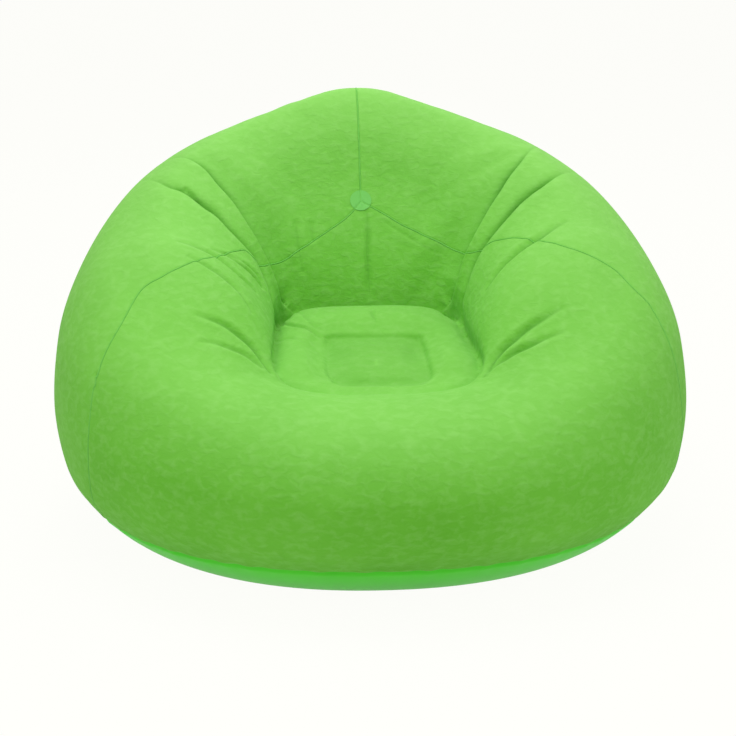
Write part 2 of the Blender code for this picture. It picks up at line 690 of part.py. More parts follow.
def build_strap(seat, finish, parent):
    """Soft strap from the insert's rim to the cap, arched so that the cap can come out."""
    start = CAP_RADIUS + FIT
    foot = INSERT_RIM_RADIUS - STRAP_FOOT
    middle = (start + foot) / 2
    half = STRAP_WIDTH / 2
    cap_level = seat + (CAP_HEIGHT - STRAP_WALL) / 2
    arch = seat + STRAP_ARCH
    line = [(INSERT_RIM_RADIUS, seat), (foot, seat), (middle, arch), (start, cap_level)]
    outline = line + [(r, z + STRAP_WALL) for r, z in line[::-1]]
    count = len(outline)
    points = [(s, -r, z) for s in (-half, half) for r, z in outline]
    faces = ring_faces(0, count, count)
    for layer in (0, count):
        faces += [tuple(layer + k for k in (i, i + 1, count - 2 - i, count - 1 - i)) for i in range(3)]
    add_object("cap_strap", mesh_from("cap_strap", points, faces), finish, parent)


def build_flap(level, rubber, hard, parent):
    """One-way flap under the insert's hole, hung at its upper edge from a retainer."""
    hinge_y = FLAP_RADIUS + FLAP_HINGE_GAP
    hinge = bpy.data.objects.new("flap_axis", None)
    bpy.context.scene.collection.objects.link(hinge)
    hinge.parent = parent
    hinge.location = (0, hinge_y, level - FLAP_WALL / 2)
    flap = turned("check_flap", [(0, FLAP_WALL / 2), (FLAP_RADIUS, FLAP_WALL / 2),
                                 (FLAP_RADIUS, -FLAP_WALL / 2), (0, -FLAP_WALL / 2)], 24, rubber, hinge)
    flap.data.transform(Matrix.Translation((0, -hinge_y, 0)))
    near = hinge_y + RETAINER_GAP
    half = RETAINER_WIDTH / 2
    points, faces = block((-half, near, level - RETAINER_HEIGHT), (half, near + RETAINER_LENGTH, level))
    add_object("flap_retainer", mesh_from("flap_retainer", points, faces), hard, parent)


def build_chair():
    clear_scene()
    flock = material("flocked_film", FLOCK_GREEN, 0.95)
    vinyl = material("smooth_film", VINYL_GREEN, 0.45)
    tape = material("seam_tape_film", TAPE_GREEN, 0.5)
    web = material("web_film", WEB_WHITE, 0.5)
    hard = material("valve_plastic", VALVE_WHITE, 0.4)
    clear = material("cap_plastic", VALVE_CLEAR, 0.35)
    rubber = material("seal_rubber", RUBBER_GREY, 0.7)
    panels = build_panels(flock)
    build_tapes(tape)
    build_base(vinyl)
    build_webs(web)
    build_patch(vinyl)
    build_valve(panels["rear_left_panel"], hard, clear, rubber, tape)


build_chair()
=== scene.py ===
"""Round flocked air chair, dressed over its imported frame.

The pumped-up skin is made first, then cut into its panels. Base, tapes, patch and valve
follow in the order in which the real chair is welded together. Metres, +Z up.
"""
import math

import bmesh
import bpy
import numpy as np
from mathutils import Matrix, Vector
from mathutils.bvhtree import BVHTree
from mathutils.kdtree import KDTree


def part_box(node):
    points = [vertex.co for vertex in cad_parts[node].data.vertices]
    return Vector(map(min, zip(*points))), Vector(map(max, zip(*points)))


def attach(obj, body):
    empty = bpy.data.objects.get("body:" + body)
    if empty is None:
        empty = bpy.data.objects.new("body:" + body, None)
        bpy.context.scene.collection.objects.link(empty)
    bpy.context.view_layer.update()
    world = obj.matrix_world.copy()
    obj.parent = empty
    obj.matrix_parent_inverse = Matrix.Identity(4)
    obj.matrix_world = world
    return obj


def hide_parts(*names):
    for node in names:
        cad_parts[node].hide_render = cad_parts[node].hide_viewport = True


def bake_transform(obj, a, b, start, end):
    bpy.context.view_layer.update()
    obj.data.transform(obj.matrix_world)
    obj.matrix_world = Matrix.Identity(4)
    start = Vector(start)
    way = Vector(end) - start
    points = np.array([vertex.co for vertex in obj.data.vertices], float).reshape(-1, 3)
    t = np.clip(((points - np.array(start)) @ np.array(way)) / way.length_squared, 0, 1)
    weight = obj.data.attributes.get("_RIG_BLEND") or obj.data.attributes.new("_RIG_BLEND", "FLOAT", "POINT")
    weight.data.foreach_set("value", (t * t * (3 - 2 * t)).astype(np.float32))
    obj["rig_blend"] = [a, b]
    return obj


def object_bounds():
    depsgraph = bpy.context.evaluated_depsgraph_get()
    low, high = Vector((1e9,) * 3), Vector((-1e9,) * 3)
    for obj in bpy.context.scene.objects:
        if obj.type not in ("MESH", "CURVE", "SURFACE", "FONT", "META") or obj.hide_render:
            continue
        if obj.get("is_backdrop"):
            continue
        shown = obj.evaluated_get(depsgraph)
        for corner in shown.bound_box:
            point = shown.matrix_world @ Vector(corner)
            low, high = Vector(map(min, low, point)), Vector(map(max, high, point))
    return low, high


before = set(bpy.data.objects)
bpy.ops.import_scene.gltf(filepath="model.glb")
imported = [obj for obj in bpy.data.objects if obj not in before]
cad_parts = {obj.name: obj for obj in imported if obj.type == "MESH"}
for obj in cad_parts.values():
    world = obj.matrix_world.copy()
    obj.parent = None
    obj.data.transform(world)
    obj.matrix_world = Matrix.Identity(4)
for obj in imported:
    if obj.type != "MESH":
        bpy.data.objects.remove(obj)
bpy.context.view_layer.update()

# The camera stands where the photographer stood: a little left of the middle, looking down
# by 16 degrees, with a long lens. Its small shift holds the photograph's framing.
VIEW_AZIMUTH = math.radians(-4)
VIEW_ELEVATION = math.radians(16)
VIEW_DISTANCE = 3.2
VIEW_TARGET = Vector((0, 0, 0.30))
FRAME_PIXELS = 736
FOCAL_PIXELS = 1888
AXIS_PIXEL = (370, 346)
SENSOR_WIDTH = 36

view_back = Vector((math.sin(VIEW_AZIMUTH) * math.cos(VIEW_ELEVATION),
                    -math.cos(VIEW_AZIMUTH) * math.cos(VIEW_ELEVATION), math.sin(VIEW_ELEVATION)))
camera_place = VIEW_TARGET + view_back * VIEW_DISTANCE
bpy.ops.object.camera_add(location=camera_place, rotation=view_back.to_track_quat("Z", "Y").to_euler())
camera = bpy.context.object
camera.name = "camera"
camera.data.sensor_width = SENSOR_WIDTH
camera.data.lens = SENSOR_WIDTH * FOCAL_PIXELS / FRAME_PIXELS
camera.data.shift_x = (FRAME_PIXELS / 2 - AXIS_PIXEL[0]) / FRAME_PIXELS
camera.data.shift_y = (AXIS_PIXEL[1] - FRAME_PIXELS / 2) / FRAME_PIXELS
bpy.context.scene.camera = camera
view_right = Vector((math.cos(VIEW_AZIMUTH), math.sin(VIEW_AZIMUTH), 0))
view_up = view_back.cross(view_right)

# The skin as air fills it. The pattern pieces give it these rings, from the base seam up
# over the crown of the arms and back, and down the well to the middle of the seat.
# Half width; y of the widest point, front and rear; z at front, side and rear; squareness;
# narrowing to the rear; fall of the peaked back. All but the last three in metres.
BASE_SEAM_HEIGHT = 0.080
BASE_FLAT_SHARE = 0.640
SKIN_RINGS = (
    (0.480, 0.00, -0.465, 0.465, 0.080, 0.080, 0.080, 2.20, 0.00, 0.000),
    (0.515, 0.00, -0.508, 0.502, 0.130, 0.138, 0.150, 2.20, 0.00, 0.000),
    (0.531, 0.00, -0.522, 0.522, 0.195, 0.235, 0.270, 2.08, 0.00, 0.000),
    (0.521, 0.00, -0.500, 0.510, 0.250, 0.335, 0.410, 2.05, 0.00, 0.010),
    (0.486, 0.00, -0.455, 0.478, 0.285, 0.420, 0.545, 2.15, 0.00, 0.040),
    (0.428, 0.00, -0.395, 0.428, 0.302, 0.478, 0.645, 2.30, 0.00, 0.075),
    (0.350, -0.02, -0.335, 0.362, 0.306, 0.500, 0.687, 2.50, 0.00, 0.100),
    (0.268, -0.05, -0.290, 0.302, 0.300, 0.472, 0.630, 2.90, 0.02, 0.075),
    (0.196, -0.08, -0.262, 0.252, 0.292, 0.410, 0.525, 3.60, 0.05, 0.030),
    (0.166, -0.10, -0.248, 0.180, 0.288, 0.347, 0.405, 4.60, 0.06, 0.000),
    (0.172, -0.12, -0.240, 0.134, 0.286, 0.300, 0.308, 5.00, 0.05, 0.000),
    (0.161, -0.12, -0.226, 0.114, 0.293, 0.316, 0.342, 4.60, 0.05, 0.000),
    (0.125, -0.11, -0.200, 0.055, 0.298, 0.323, 0.344, 4.50, 0.04, 0.000),
    (0.080, -0.095, -0.180, -0.010, 0.289, 0.303, 0.319, 5.50, 0.00, 0.000),
    (0.060, -0.095, -0.160, -0.035, 0.294, 0.305, 0.317, 4.00, 0.00, 0.000),
    (0.000, -0.095, -0.095, -0.095, 0.309, 0.309, 0.309, 2.00, 0.00, 0.000),
)
FORM_SEGMENTS, FORM_RINGS = 400, 260
SKIN_SHARE = 0.80
FORM_VOXEL = 0.0045
PEAK_ROUNDING = 0.08


def select_only(piece):
    bpy.ops.object.select_all(action="DESELECT")
    piece.select_set(True)
    bpy.context.view_layer.objects.active = piece


def read_rows(items, kind):
    """Three numbers of each vertex or face, such as its place or its normal."""
    flat = np.empty(len(items) * 3)
    items.foreach_get(kind, flat)
    return flat.reshape(-1, 3)


def read_points(piece):
    return read_rows(piece.data.vertices, "co")


def read_normals(piece):
    return read_rows(piece.data.vertices, "normal")


def write_points(piece, points):
    piece.data.vertices.foreach_set("co", points.ravel())
    piece.data.update()


def apply_all(piece):
    select_only(piece)
    for change in list(piece.modifiers):
        bpy.ops.object.modifier_apply(modifier=change.name)


def remesh_evenly(piece, voxel):
    change = piece.modifiers.new("even_mesh", "REMESH")
    change.mode = "VOXEL"
    change.voxel_size = voxel
    apply_all(piece)


def surface_tree(piece):
    faces = [tuple(face.vertices) for face in piece.data.polygons]
    return BVHTree.FromPolygons([tuple(point) for point in read_points(piece)], faces)


def bell(value):
    """A smooth hump: 1 at nought, and little more than a third at 1."""
    return np.exp(-value ** 2)


def ease(value, low, high):
    """Smooth step from 0 at low to 1 at high."""
    part = np.clip((value - low) / (high - low), 0, 1)
    return part * part * (3 - 2 * part)


def ring_sizes(at):
    """Sizes of the skin at fractional ring numbers, smooth and with no overshoot."""
    table = np.array(SKIN_RINGS)
    steps = np.diff(table, axis=0)
    before, after = steps[:-1], steps[1:]
    rising = before * after > 0
    slopes = np.zeros_like(table)
    slopes[1:-1] = np.where(rising, 2 * before * after / np.where(rising, before + after, 1), 0)
    slopes[0], slopes[-1] = steps[0], steps[-1]
    low = np.clip(np.floor(at).astype(int), 0, len(table) - 2)
    part = (at - low)[:, None]
    bend = 3 * steps[low] - 2 * slopes[low] - slopes[low + 1]
    turn = slopes[low] + slopes[low + 1] - 2 * steps[low]
    return (table[low] + part * slopes[low] + part ** 2 * bend + part ** 3 * turn).T


def signed_power(value, power):
    return np.sign(value) * np.abs(value) ** power


def skin_points(angle, ring):
    half, y_wide, y_front, y_rear, z_front, z_side, z_rear, square, narrow, fall = ring_sizes(ring)
    across, along = np.cos(angle), np.sin(angle)
    reach = signed_power(along, 2 / square)
    x = half * signed_power(across, 2 / square) * (1 - narrow * reach)
    y = y_wide + np.where(along > 0, y_rear - y_wide, y_wide - y_front) * reach
    z = z_side + (z_rear - z_front) / 2 * along + ((z_rear + z_front) / 2 - z_side) * along ** 2
    gable = np.sqrt(across ** 2 + PEAK_ROUNDING ** 2) - PEAK_ROUNDING
    return np.stack([x, y, z - fall * gable * np.clip(along, 0, 1) ** 3], -1)


bpy.ops.mesh.primitive_uv_sphere_add(segments=FORM_SEGMENTS, ring_count=FORM_RINGS, radius=1)
form = bpy.context.object
form.name = "skin_form"
ball = read_points(form)
angle = np.arctan2(ball[:, 1], ball[:, 0])
share = np.arccos(np.clip(ball[:, 2], -1, 1)) / math.pi
last_ring = len(SKIN_RINGS) - 1
shaped = skin_points(angle, np.clip(last_ring * (1 - share / SKIN_SHARE), 0, last_ring))
below = share > SKIN_SHARE
edge = skin_points(angle[below], np.zeros(below.sum()))
depth = (share[below] - SKIN_SHARE) / (1 - SKIN_SHARE)
radius = np.linalg.norm(edge[:, :2], axis=1)
flat = BASE_FLAT_SHARE * radius
full = 2 * np.arctan2(edge[:, 2], radius - flat)
turn = full * np.clip(1 - 2 * depth, 0, 1)
out = flat * np.clip(2 - 2 * depth, 0, 1) + (radius - flat) * np.sin(turn) / np.sin(full)
shaped[below, :2] = edge[:, :2] / radius[:, None] * out[:, None]
shaped[below, 2] = edge[:, 2] * (1 - np.cos(turn)) / (1 - np.cos(full))
write_points(form, shaped)
round_tree = surface_tree(form)
remesh_evenly(form, FORM_VOXEL)

# Round the valve the panel is pressed flat, so that the hard collar can be welded to it.
# The three directions are the valve's own: across, up along the back, and out of the film.
VALVE_CENTRE = np.array((-0.20166, 0.48726, 0.26772))
VALVE_ACROSS = np.array((-0.937049, -0.349197, 0.0))
VALVE_UP = np.array((0.006293, -0.016886, 0.999838))
VALVE_OUT = np.array((-0.34914, 0.936897, 0.018021))
VALVE_FLAT = (0.040, 0.110)
VALVE_HOLE_RADIUS = 0.0233
VALVE_SIDE_DEPTH = 0.1


def valve_distance(points):
    """Distance from the valve's axis, or a metre on the chair's other side."""
    offset = points - VALVE_CENTRE
    from_axis = np.hypot(offset @ VALVE_ACROSS, offset @ VALVE_UP)
    return np.where(offset @ VALVE_OUT > -VALVE_SIDE_DEPTH, from_axis, 1.0)


def flatten_for_valve(points):
    height = (points - VALVE_CENTRE) @ VALVE_OUT
    share = 1 - ease(valve_distance(points), *VALVE_FLAT)
    return points - np.outer(height * share, VALVE_OUT)


# Folds of the taut film. Air pulls the film into deep V folds between the back and the
# arms, a narrow pillow stands between each pair, and small wrinkles run off the corners.
# Each line is read in pixels of the photograph, with its depth in millimetres at each point.
LINE_STEP = 0.004
POINTS_AT_ONCE = 4000
HEIGHT_SHARE_LEFT_OUT = 0.7


def on_skin(pixel_x, pixel_y):
    """Point of the smooth skin under a pixel of the photograph."""
    ray = (view_right * (pixel_x - AXIS_PIXEL[0]) / FOCAL_PIXELS
           + view_up * (AXIS_PIXEL[1] - pixel_y) / FOCAL_PIXELS - view_back)
    hit = round_tree.ray_cast(camera_place, ray.normalized())[0]
    return np.array(hit) if hit else None


def smooth_line(points, step):
    """Even points along a curve through the given points, columns beyond xyz included."""
    points = np.array(points)
    ends = np.concatenate([[2 * points[0] - points[1]], points, [2 * points[-1] - points[-2]]])
    made = []
    for a, b, c, d in zip(ends, ends[1:], ends[2:], ends[3:]):
        count = max(2, int(np.linalg.norm((c - b)[:3]) / step))
        t = np.linspace(0, 1, count, endpoint=False)[:, None]
        made.append(0.5 * (2 * b + (c - a) * t + (2 * a - 5 * b + 4 * c - d) * t ** 2
                           + (3 * b - a - 3 * c + d) * t ** 3))
    return np.concatenate(made + [points[-1:]])


def photo_line(pixels, run_on=0.0):
    """Line on the skin under photograph pixels. It may run on past its first point."""
    found = [(on_skin(x, y), d) for x, y, d in pixels]
    line = [np.append(p, d / 1000) for p, d in found if p is not None]
    if run_on:
        toward = (line[0] - line[1])[:3]
        toward /= np.linalg.norm(toward)
        first = line[0]
        for step in (0.5, 1.0):
            near = round_tree.find_nearest(Vector(first[:3] + toward * run_on * step))[0]
            line.insert(0, np.append(np.array(near), first[3] * (1 - step)))
    return smooth_line(line, LINE_STEP)


def near_line(points, normals, line, reach):
    """For points near a line: their numbers, distance, side of it and the depth there."""
    near = np.all((points > line[:, :3].min(0) - reach) & (points < line[:, :3].max(0) + reach), axis=1)
    index = np.where(near)[0]
    kept = [(np.zeros(0, int), np.zeros(0), np.zeros(0), np.zeros(0))]
    for block in np.array_split(index, len(index) // POINTS_AT_ONCE + 1):
        if not len(block):
            continue
        gap = points[block][:, None, :] - line[None, :, :3]
        best = np.clip(np.argmin(np.einsum("ijk,ijk->ij", gap, gap), axis=1), 1, len(line) - 2)
        along = line[best + 1, :3] - line[best - 1, :3]
        along /= np.maximum(np.linalg.norm(along, axis=1, keepdims=True), 1e-9)
        offset = points[block] - line[best, :3]
        shift = np.einsum("ij,ij->i", offset, along)
        offset = offset - along * np.clip(shift, -LINE_STEP, LINE_STEP)[:, None]
        height = np.einsum("ij,ij->i", offset, normals[block])
        offset -= normals[block] * height[:, None] * HEIGHT_SHARE_LEFT_OUT
        distance = np.linalg.norm(offset, axis=1)
        side = np.einsum("ij,ij->i", np.cross(along, offset), normals[block])
        keep = distance < reach
        kept.append((block[keep], distance[keep], side[keep], line[best[keep], 3]))
    return [np.concatenate(part) for part in zip(*kept)]


# A deep fold has a round lip, the nearer lobe, which stands over a slope that falls away
# under it. The numbers are the reach of its left and right wall, and the side of the lip.
DEEP_FOLDS = {
    "left_inner": (((185, 157, 3), (207, 168, 8), (221, 184, 13), (237, 203, 18), (250, 224, 22),
                    (261, 244, 25), (269, 261, 26), (275, 275, 24), (280, 290, 17), (286, 303, 7),
                    (289, 308, 0)), 0.090, 0.034, 1),
    "left_outer": (((152, 180, 1), (168, 185, 5), (184, 190, 8), (204, 204, 12), (218, 214, 10),
                    (232, 229, 9), (246, 244, 8), (257, 258, 7), (264, 273, 7), (270, 288, 6),
                    (274, 305, 6), (275, 317, 5), (276, 328, 5), (275.5, 345, 4), (275, 362, 3),
                    (275, 374, 0)), 0.022, 0.050, 1),
    "right_inner": (((530, 150, 3), (520, 160, 7), (507, 175, 12), (496, 192, 17), (486, 208, 22),
                     (476, 227, 26), (467, 246, 27), (461, 260, 26), (455, 281, 18), (449, 300, 7),
                     (446, 307, 0)), 0.034, 0.090, -1),
    "right_outer": (((569, 172, 1), (557, 175, 4), (543, 183, 8), (530, 192, 9), (518, 202, 10),
                     (507, 214, 10), (496, 227, 9), (486, 240, 9), (476, 256, 8), (469, 273, 7),
                     (464, 290, 6), (461, 306, 6), (463, 320, 5), (467, 336, 4), (474, 354, 3),
                     (483, 374, 0)), 0.050, 0.022, -1),
}
LIP_WIDTH, LIP_POWER = 0.0035, 1.5
LIP_SHARE = 0.8
WALL_POWER = 2.2
LIP_BULGE = 0.22
SLIT_DEPTH, SLIT_WIDTH = 0.006, 0.0024
SLIT_STARTS, SLIT_IS_FULL = 0.0036, 0.0156
RUN_ON = 0.08

# Where film lies against film in a fold, shade is painted into the pile's colour, dark: under a lip
# and down in a deep fold, and less in a wrinkle.
SHADE_EDGE_WIDTH = 0.0016
SHADE_LEAST_WIDTH, SHADE_WIDTH_PER_DEPTH = 0.003, 0.42
FOLD_SHADE_FULL_AT = 0.014
WRINKLE_SHADE, WRINKLE_SHADE_FULL_AT = 0.7, 0.006

# The seat cushion stands in the well with a crease all round it, given by the angle round
# the seat in degrees from the right side, and the depth in millimetres.
SEAT_EDGE_RING = 10
SEAT_CREASE = ((32, 0), (44, 2), (60, 3), (90, 3), (120, 3), (136, 2), (148, 0))
SEAT_CREASE_REACHES = (0.030, 0.018)
SEAT_CREASE_POINTS = 60

# Fine wrinkles: a narrow valley with a low ridge beside it, a few millimetres deep.
WRINKLES = (
    (((179, 241, 1), (202, 249, 3), (221, 260, 4), (241, 277, 4), (256, 292, 1)), 0.008),
    (((189, 256, 1), (209, 267, 3), (225, 278, 3), (241, 294, 2), (252, 312, 1)), 0.007),
    (((214, 250, 1), (235, 260, 3), (250, 272, 4), (262, 287, 2)), 0.007),
    (((225, 253, 1), (243, 262, 2), (257, 275, 3), (266, 291, 1)), 0.006),
    (((198, 315, 1), (221, 323, 4), (239, 335, 5), (255, 350, 5), (270, 371, 3)), 0.008),
    (((201, 341, 1), (215, 343, 2), (230, 348, 3), (246, 355, 3), (262, 367, 2)), 0.007),
    (((186, 188, 2), (192, 193, 4), (200, 201, 2)), 0.005),
    (((566, 221, 1), (553, 228, 3), (540, 237, 5), (528, 244, 6), (515, 254, 6), (503, 265, 5),
      (492, 279, 4), (486, 289, 1)), 0.010),
    (((561, 308, 1), (542, 319, 4), (526, 329, 6), (513, 340, 6), (501, 351, 6), (490, 366, 4),
      (484, 375, 2)), 0.010),
    (((562, 332, 1), (545, 338, 3), (530, 345, 5), (515, 352, 5), (503, 360, 4), (490, 369, 2)), 0.008),
    (((367, 214, 1), (368, 234, 3), (368, 260, 3.5), (369, 280, 3), (370, 298, 0)), 0.0065),
    (((371, 309, 1), (373, 315, 3), (377, 322, 0)), 0.005),
    (((295, 224, 1), (299, 248, 2), (303, 270, 1)), 0.009),
    (((311, 224, 1), (312, 234, 1.5), (313, 240, 1)), 0.007),
    (((383, 221, 0.4), (400, 232, 0.7), (420, 244, 0.7), (436, 253, 0.4)), 0.005),
    (((279, 326.5, 1), (287, 324, 3), (299, 326, 3), (310, 330, 2), (320, 338, 0.5)), 0.006),
    (((294, 312, 0.5), (308, 320, 1.5), (318, 330, 0.5)), 0.006),
    (((280, 340, 0.5), (290, 338, 1.5), (304, 342, 0.5)), 0.006),
)

# The seat is welded to the webs below it along a rounded rectangle, a narrow sunken line.
WELD_LINE = ((327, 341, 4), (332, 336.5, 4), (375, 336, 3.5), (415, 337, 4), (421, 342, 4), (426, 358, 4),
             (430, 373, 4), (427, 379, 4), (418, 382, 4), (375, 383, 5), (340, 382, 5), (333, 379, 5),
             (328, 372, 5), (327, 357, 4), (327, 341, 4))
WELD_PAN, WELD_STEP = 0.045, 0.0038
WELD_MIDDLE = 0.080
WELD_GROOVE, WELD_RIDGE = 0.2, 0.3
# Painted shade: the pile inside the weld, out to the middle, is coloured darker, as the sunken pan lies in
# shade.
PAN_PAINTED_SHADE = 0.18

# The front panel meets the two rear panels along one curve over the arms and the back,
# which is read in pixels of the photograph, and runs on round the flanks where none shows
# it. The rear panels meet in the middle of the back, and all three at the seam of the base.
LEFT_SEAM = ((88, 440), (95, 385), (104, 355), (120, 325), (140, 291), (162, 276), (186, 264),
             (210, 257), (232, 251), (244, 250), (252, 256), (262, 264), (275, 261), (293, 253),
             (309, 243), (324, 233), (345, 218))
RIGHT_SEAM = ((382, 213), (400, 224), (419, 233), (438, 242), (454, 250), (470, 254), (484, 246),
              (500, 240), (515, 238), (530, 240), (545, 242), (563, 246), (582, 252), (599, 260),
              (616, 271), (633, 288), (649, 304), (660, 323))
PATCH_PLAN = (0.0, 0.238)
LEFT_RUN_ON, RIGHT_RUN_ON = (-0.60, -0.62), (0.62, -0.36)
SEAM_GROOVE = (0.0009, 0.0017)
BASE_GROOVE = (0.0030, 0.0040)
seam_halves = []
for pixels, first, last in ((LEFT_SEAM, LEFT_RUN_ON, PATCH_PLAN), (RIGHT_SEAM, PATCH_PLAN, RIGHT_RUN_ON)):
    found = [on_skin(*pixel)[:2] for pixel in pixels]
    half = np.array([first, *found, last])
    half[:, 0] = np.maximum.accumulate(half[:, 0] + np.arange(len(half)) * 1e-4)
    seam_halves.append(smooth_line(half, LINE_STEP))
seam_points = np.concatenate([seam_halves[0], seam_halves[1][1:]])
seam_points = seam_points[np.argsort(seam_points[:, 0])]
seam_slope = np.gradient(seam_points[:, 1], seam_points[:, 0])


def seam_fields(points, normals):
    """Signed distances along the skin: to the front seam, the middle seam and the base seam."""
    slope = np.interp(points[:, 0], seam_points[:, 0], seam_slope)
    behind = points[:, 1] - np.interp(points[:, 0], seam_points[:, 0], seam_points[:, 1])
    fields = []
    for value, across in ((behind, np.stack([-slope, np.ones_like(slope), 0 * slope], 1)),
                          (points[:, 0], np.array([[1.0, 0, 0]])),
                          (points[:, 2] - BASE_SEAM_HEIGHT, np.array([[0, 0, 1.0]]))):
        along = across - normals * np.sum(across * normals, axis=1, keepdims=True)
        fields.append(value / np.maximum(np.linalg.norm(along, axis=1), 0.15))
    return fields


def subdivide_faces(piece, chosen):
    """Split the chosen faces in four, in edit mode."""
    select_only(piece)
    bpy.ops.object.mode_set(mode="EDIT")
    bpy.ops.mesh.select_mode(type="FACE")
    bpy.ops.mesh.select_all(action="DESELECT")
    bpy.ops.object.mode_set(mode="OBJECT")
    piece.data.polygons.foreach_set("select", chosen)
    bpy.ops.object.mode_set(mode="EDIT")
    bpy.ops.mesh.subdivide(number_cuts=1)
    bpy.ops.object.mode_set(mode="OBJECT")


def press_folds(points, normals):
    """How far folds, wrinkles and welds press the skin in at each point, and the shade painted there."""
    push = np.zeros(len(points))
    bulge = np.zeros(len(points))
    shade = np.zeros(len(points))
    folds = [(fold_lines[name], *rest) for name, (pixels, *rest) in DEEP_FOLDS.items()]
    for line, left_reach, right_reach, lip_side in folds + [(seat_crease, *SEAT_CREASE_REACHES[::-1], 1)]:
        index, distance, side, depth = near_line(points, normals, line, max(left_reach, right_reach))
        reach = np.where(side > 0, left_reach, right_reach)
        open_side = 1 - np.clip(distance / reach, 0, 1)
        lip = np.exp(-(distance / LIP_WIDTH) ** LIP_POWER)
        slit_share = np.clip((depth - SLIT_STARTS) / (SLIT_IS_FULL - SLIT_STARTS), 0, 1)
        slit = SLIT_DEPTH * np.exp(-distance / SLIT_WIDTH) * slit_share
        on_lip = side * lip_side < 0
        under_lip = LIP_SHARE * lip + (1 - LIP_SHARE) * open_side ** 3
        fall = np.where(on_lip, under_lip, open_side ** WALL_POWER)
        push[index] = np.maximum(push[index], depth * fall) + slit
        # Painted shade: a dark band along each fold, wider where the fold is deeper.
        shade_width = SHADE_LEAST_WIDTH + SHADE_WIDTH_PER_DEPTH * depth
        down_wall = 0.8 * bell(distance / shade_width) + 0.2 * np.exp(-distance / (3 * shade_width))
        painted_shade = np.where(on_lip, bell(distance / SHADE_EDGE_WIDTH), down_wall)
        painted_shade *= np.clip(depth / FOLD_SHADE_FULL_AT, 0, 1)
        shade[index] = np.maximum(shade[index], painted_shade)
        swell = bell((distance - 0.45 * reach) / (0.22 * reach)) * (1 - lip)
        bulge[index] = np.maximum(bulge[index], np.where(on_lip, LIP_BULGE * depth * swell, 0))
    push -= bulge
    for line, (pixels, reach) in zip(wrinkle_lines, WRINKLES):
        index, distance, side, depth = near_line(points, normals, line, 3 * reach)
        share = distance / reach
        push[index] += depth * (np.exp(-2 * share ** 2) - 0.3 * np.exp(-2 * (share - 1.4) ** 2))
        wrinkle_shade = WRINKLE_SHADE * np.exp(-8 * share ** 2) * np.clip(depth / WRINKLE_SHADE_FULL_AT, 0, 1)
        shade[index] = np.maximum(shade[index], wrinkle_shade)
    index, distance, side, depth = near_line(points, normals, weld_line, WELD_MIDDLE)
    inward = np.where(side < 0, distance, -distance)
    inside = 0.5 + 0.5 * np.tanh(inward / WELD_STEP)
    push[index] += depth * inside * (1 - ease(inward, 0.5 * WELD_PAN, WELD_PAN))
    push[index] += WELD_GROOVE * depth * bell(inward / WELD_STEP)
    push[index] -= WELD_RIDGE * depth * bell((inward + 2.5 * WELD_STEP) / (1.5 * WELD_STEP))
    # Painted shade inside the weld pan.
    shade[index] = np.maximum(shade[index], PAN_PAINTED_SHADE * inside)
    return push, shade


def edge_ends(piece):
    ends = np.empty(len(piece.data.edges) * 2, int)
    piece.data.edges.foreach_get("vertices", ends)
    return ends.reshape(-1, 2)


def even_between(values, ends, rounds):
    """Average each point's values with its neighbours', several times."""
    count = np.bincount(ends.ravel(), minlength=len(values))[:, None] + 1
    for _ in range(rounds):
        total = values.copy()
        for column in range(values.shape[1]):
            for near, far in ((0, 1), (1, 0)):
                total[:, column] += np.bincount(ends[:, near], values[ends[:, far], column], len(values))
        values = total / count
    return values


# The lines of the folds are laid on the round skin.
FORM_EVENING = 3
write_points(form, flatten_for_valve(even_between(read_points(form), edge_ends(form), FORM_EVENING)))
fold_lines = {name: photo_line(pixels, RUN_ON) for name, (pixels, *_) in DEEP_FOLDS.items()}
wrinkle_lines = [photo_line(pixels) for pixels, reach in WRINKLES]
weld_line = photo_line(WELD_LINE)
crease_turns, crease_depths = np.array(SEAT_CREASE, float).T
crease_turn = np.radians(np.linspace(crease_turns[0], crease_turns[-1], SEAT_CREASE_POINTS))
crease_places = skin_points(crease_turn, np.full(SEAT_CREASE_POINTS, float(SEAT_EDGE_RING)))
crease_depth = np.interp(np.degrees(crease_turn), crease_turns, crease_depths) / 1000
seat_crease = smooth_line(np.column_stack([crease_places, crease_depth]), LINE_STEP)
form_tree = surface_tree(form)
for line in [*fold_lines.values(), *wrinkle_lines, weld_line, seat_crease]:
    for point in line:
        point[:3] = form_tree.find_nearest(Vector(point[:3]))[0]

# Air presses the film out between its folds, the weld of the seat and the base seam, which
# hold it. A cloth simulation of the whole skin, started a few millimetres small, shows how far.
AIR_VOXEL = 0.009
AIR_PRESSURE = 4
AIR_FRAMES = 20
AIR_ROOM = 0.006
AIR_REACH = 0.008
AIR_EVENING = 60
AIR_SHARE = 0.5
HOLD_REACH = 0.012
STILL_ABOVE_BASE = 0.06
STILL_ROUND_VALVE = (0.05, 0.13)
HELD_SHARE = 0.3
NEAREST_POINTS = 4
air = np.zeros((len(form.data.vertices), 3))
select_only(form)
bpy.ops.object.duplicate()
pumped = bpy.context.object
remesh_evenly(pumped, AIR_VOXEL)
places = read_points(pumped)
turns = even_between(read_normals(pumped), edge_ends(pumped), 2)
turns /= np.linalg.norm(turns, axis=1, keepdims=True)
free = ease(places[:, 2], BASE_SEAM_HEIGHT, BASE_SEAM_HEIGHT + STILL_ABOVE_BASE)
free *= ease(valve_distance(places), *STILL_ROUND_VALVE)
folded = places - turns * press_folds(places, turns)[0][:, None]
slack = folded - turns * (AIR_ROOM * free)[:, None]
write_points(pumped, slack)
held = free < HELD_SHARE
for line in [*fold_lines.values(), weld_line, seat_crease]:
    held[near_line(places, turns, line, HOLD_REACH)[0]] = True
pumped.vertex_groups.new(name="held").add([int(n) for n in np.where(held)[0]], 1.0, "REPLACE")
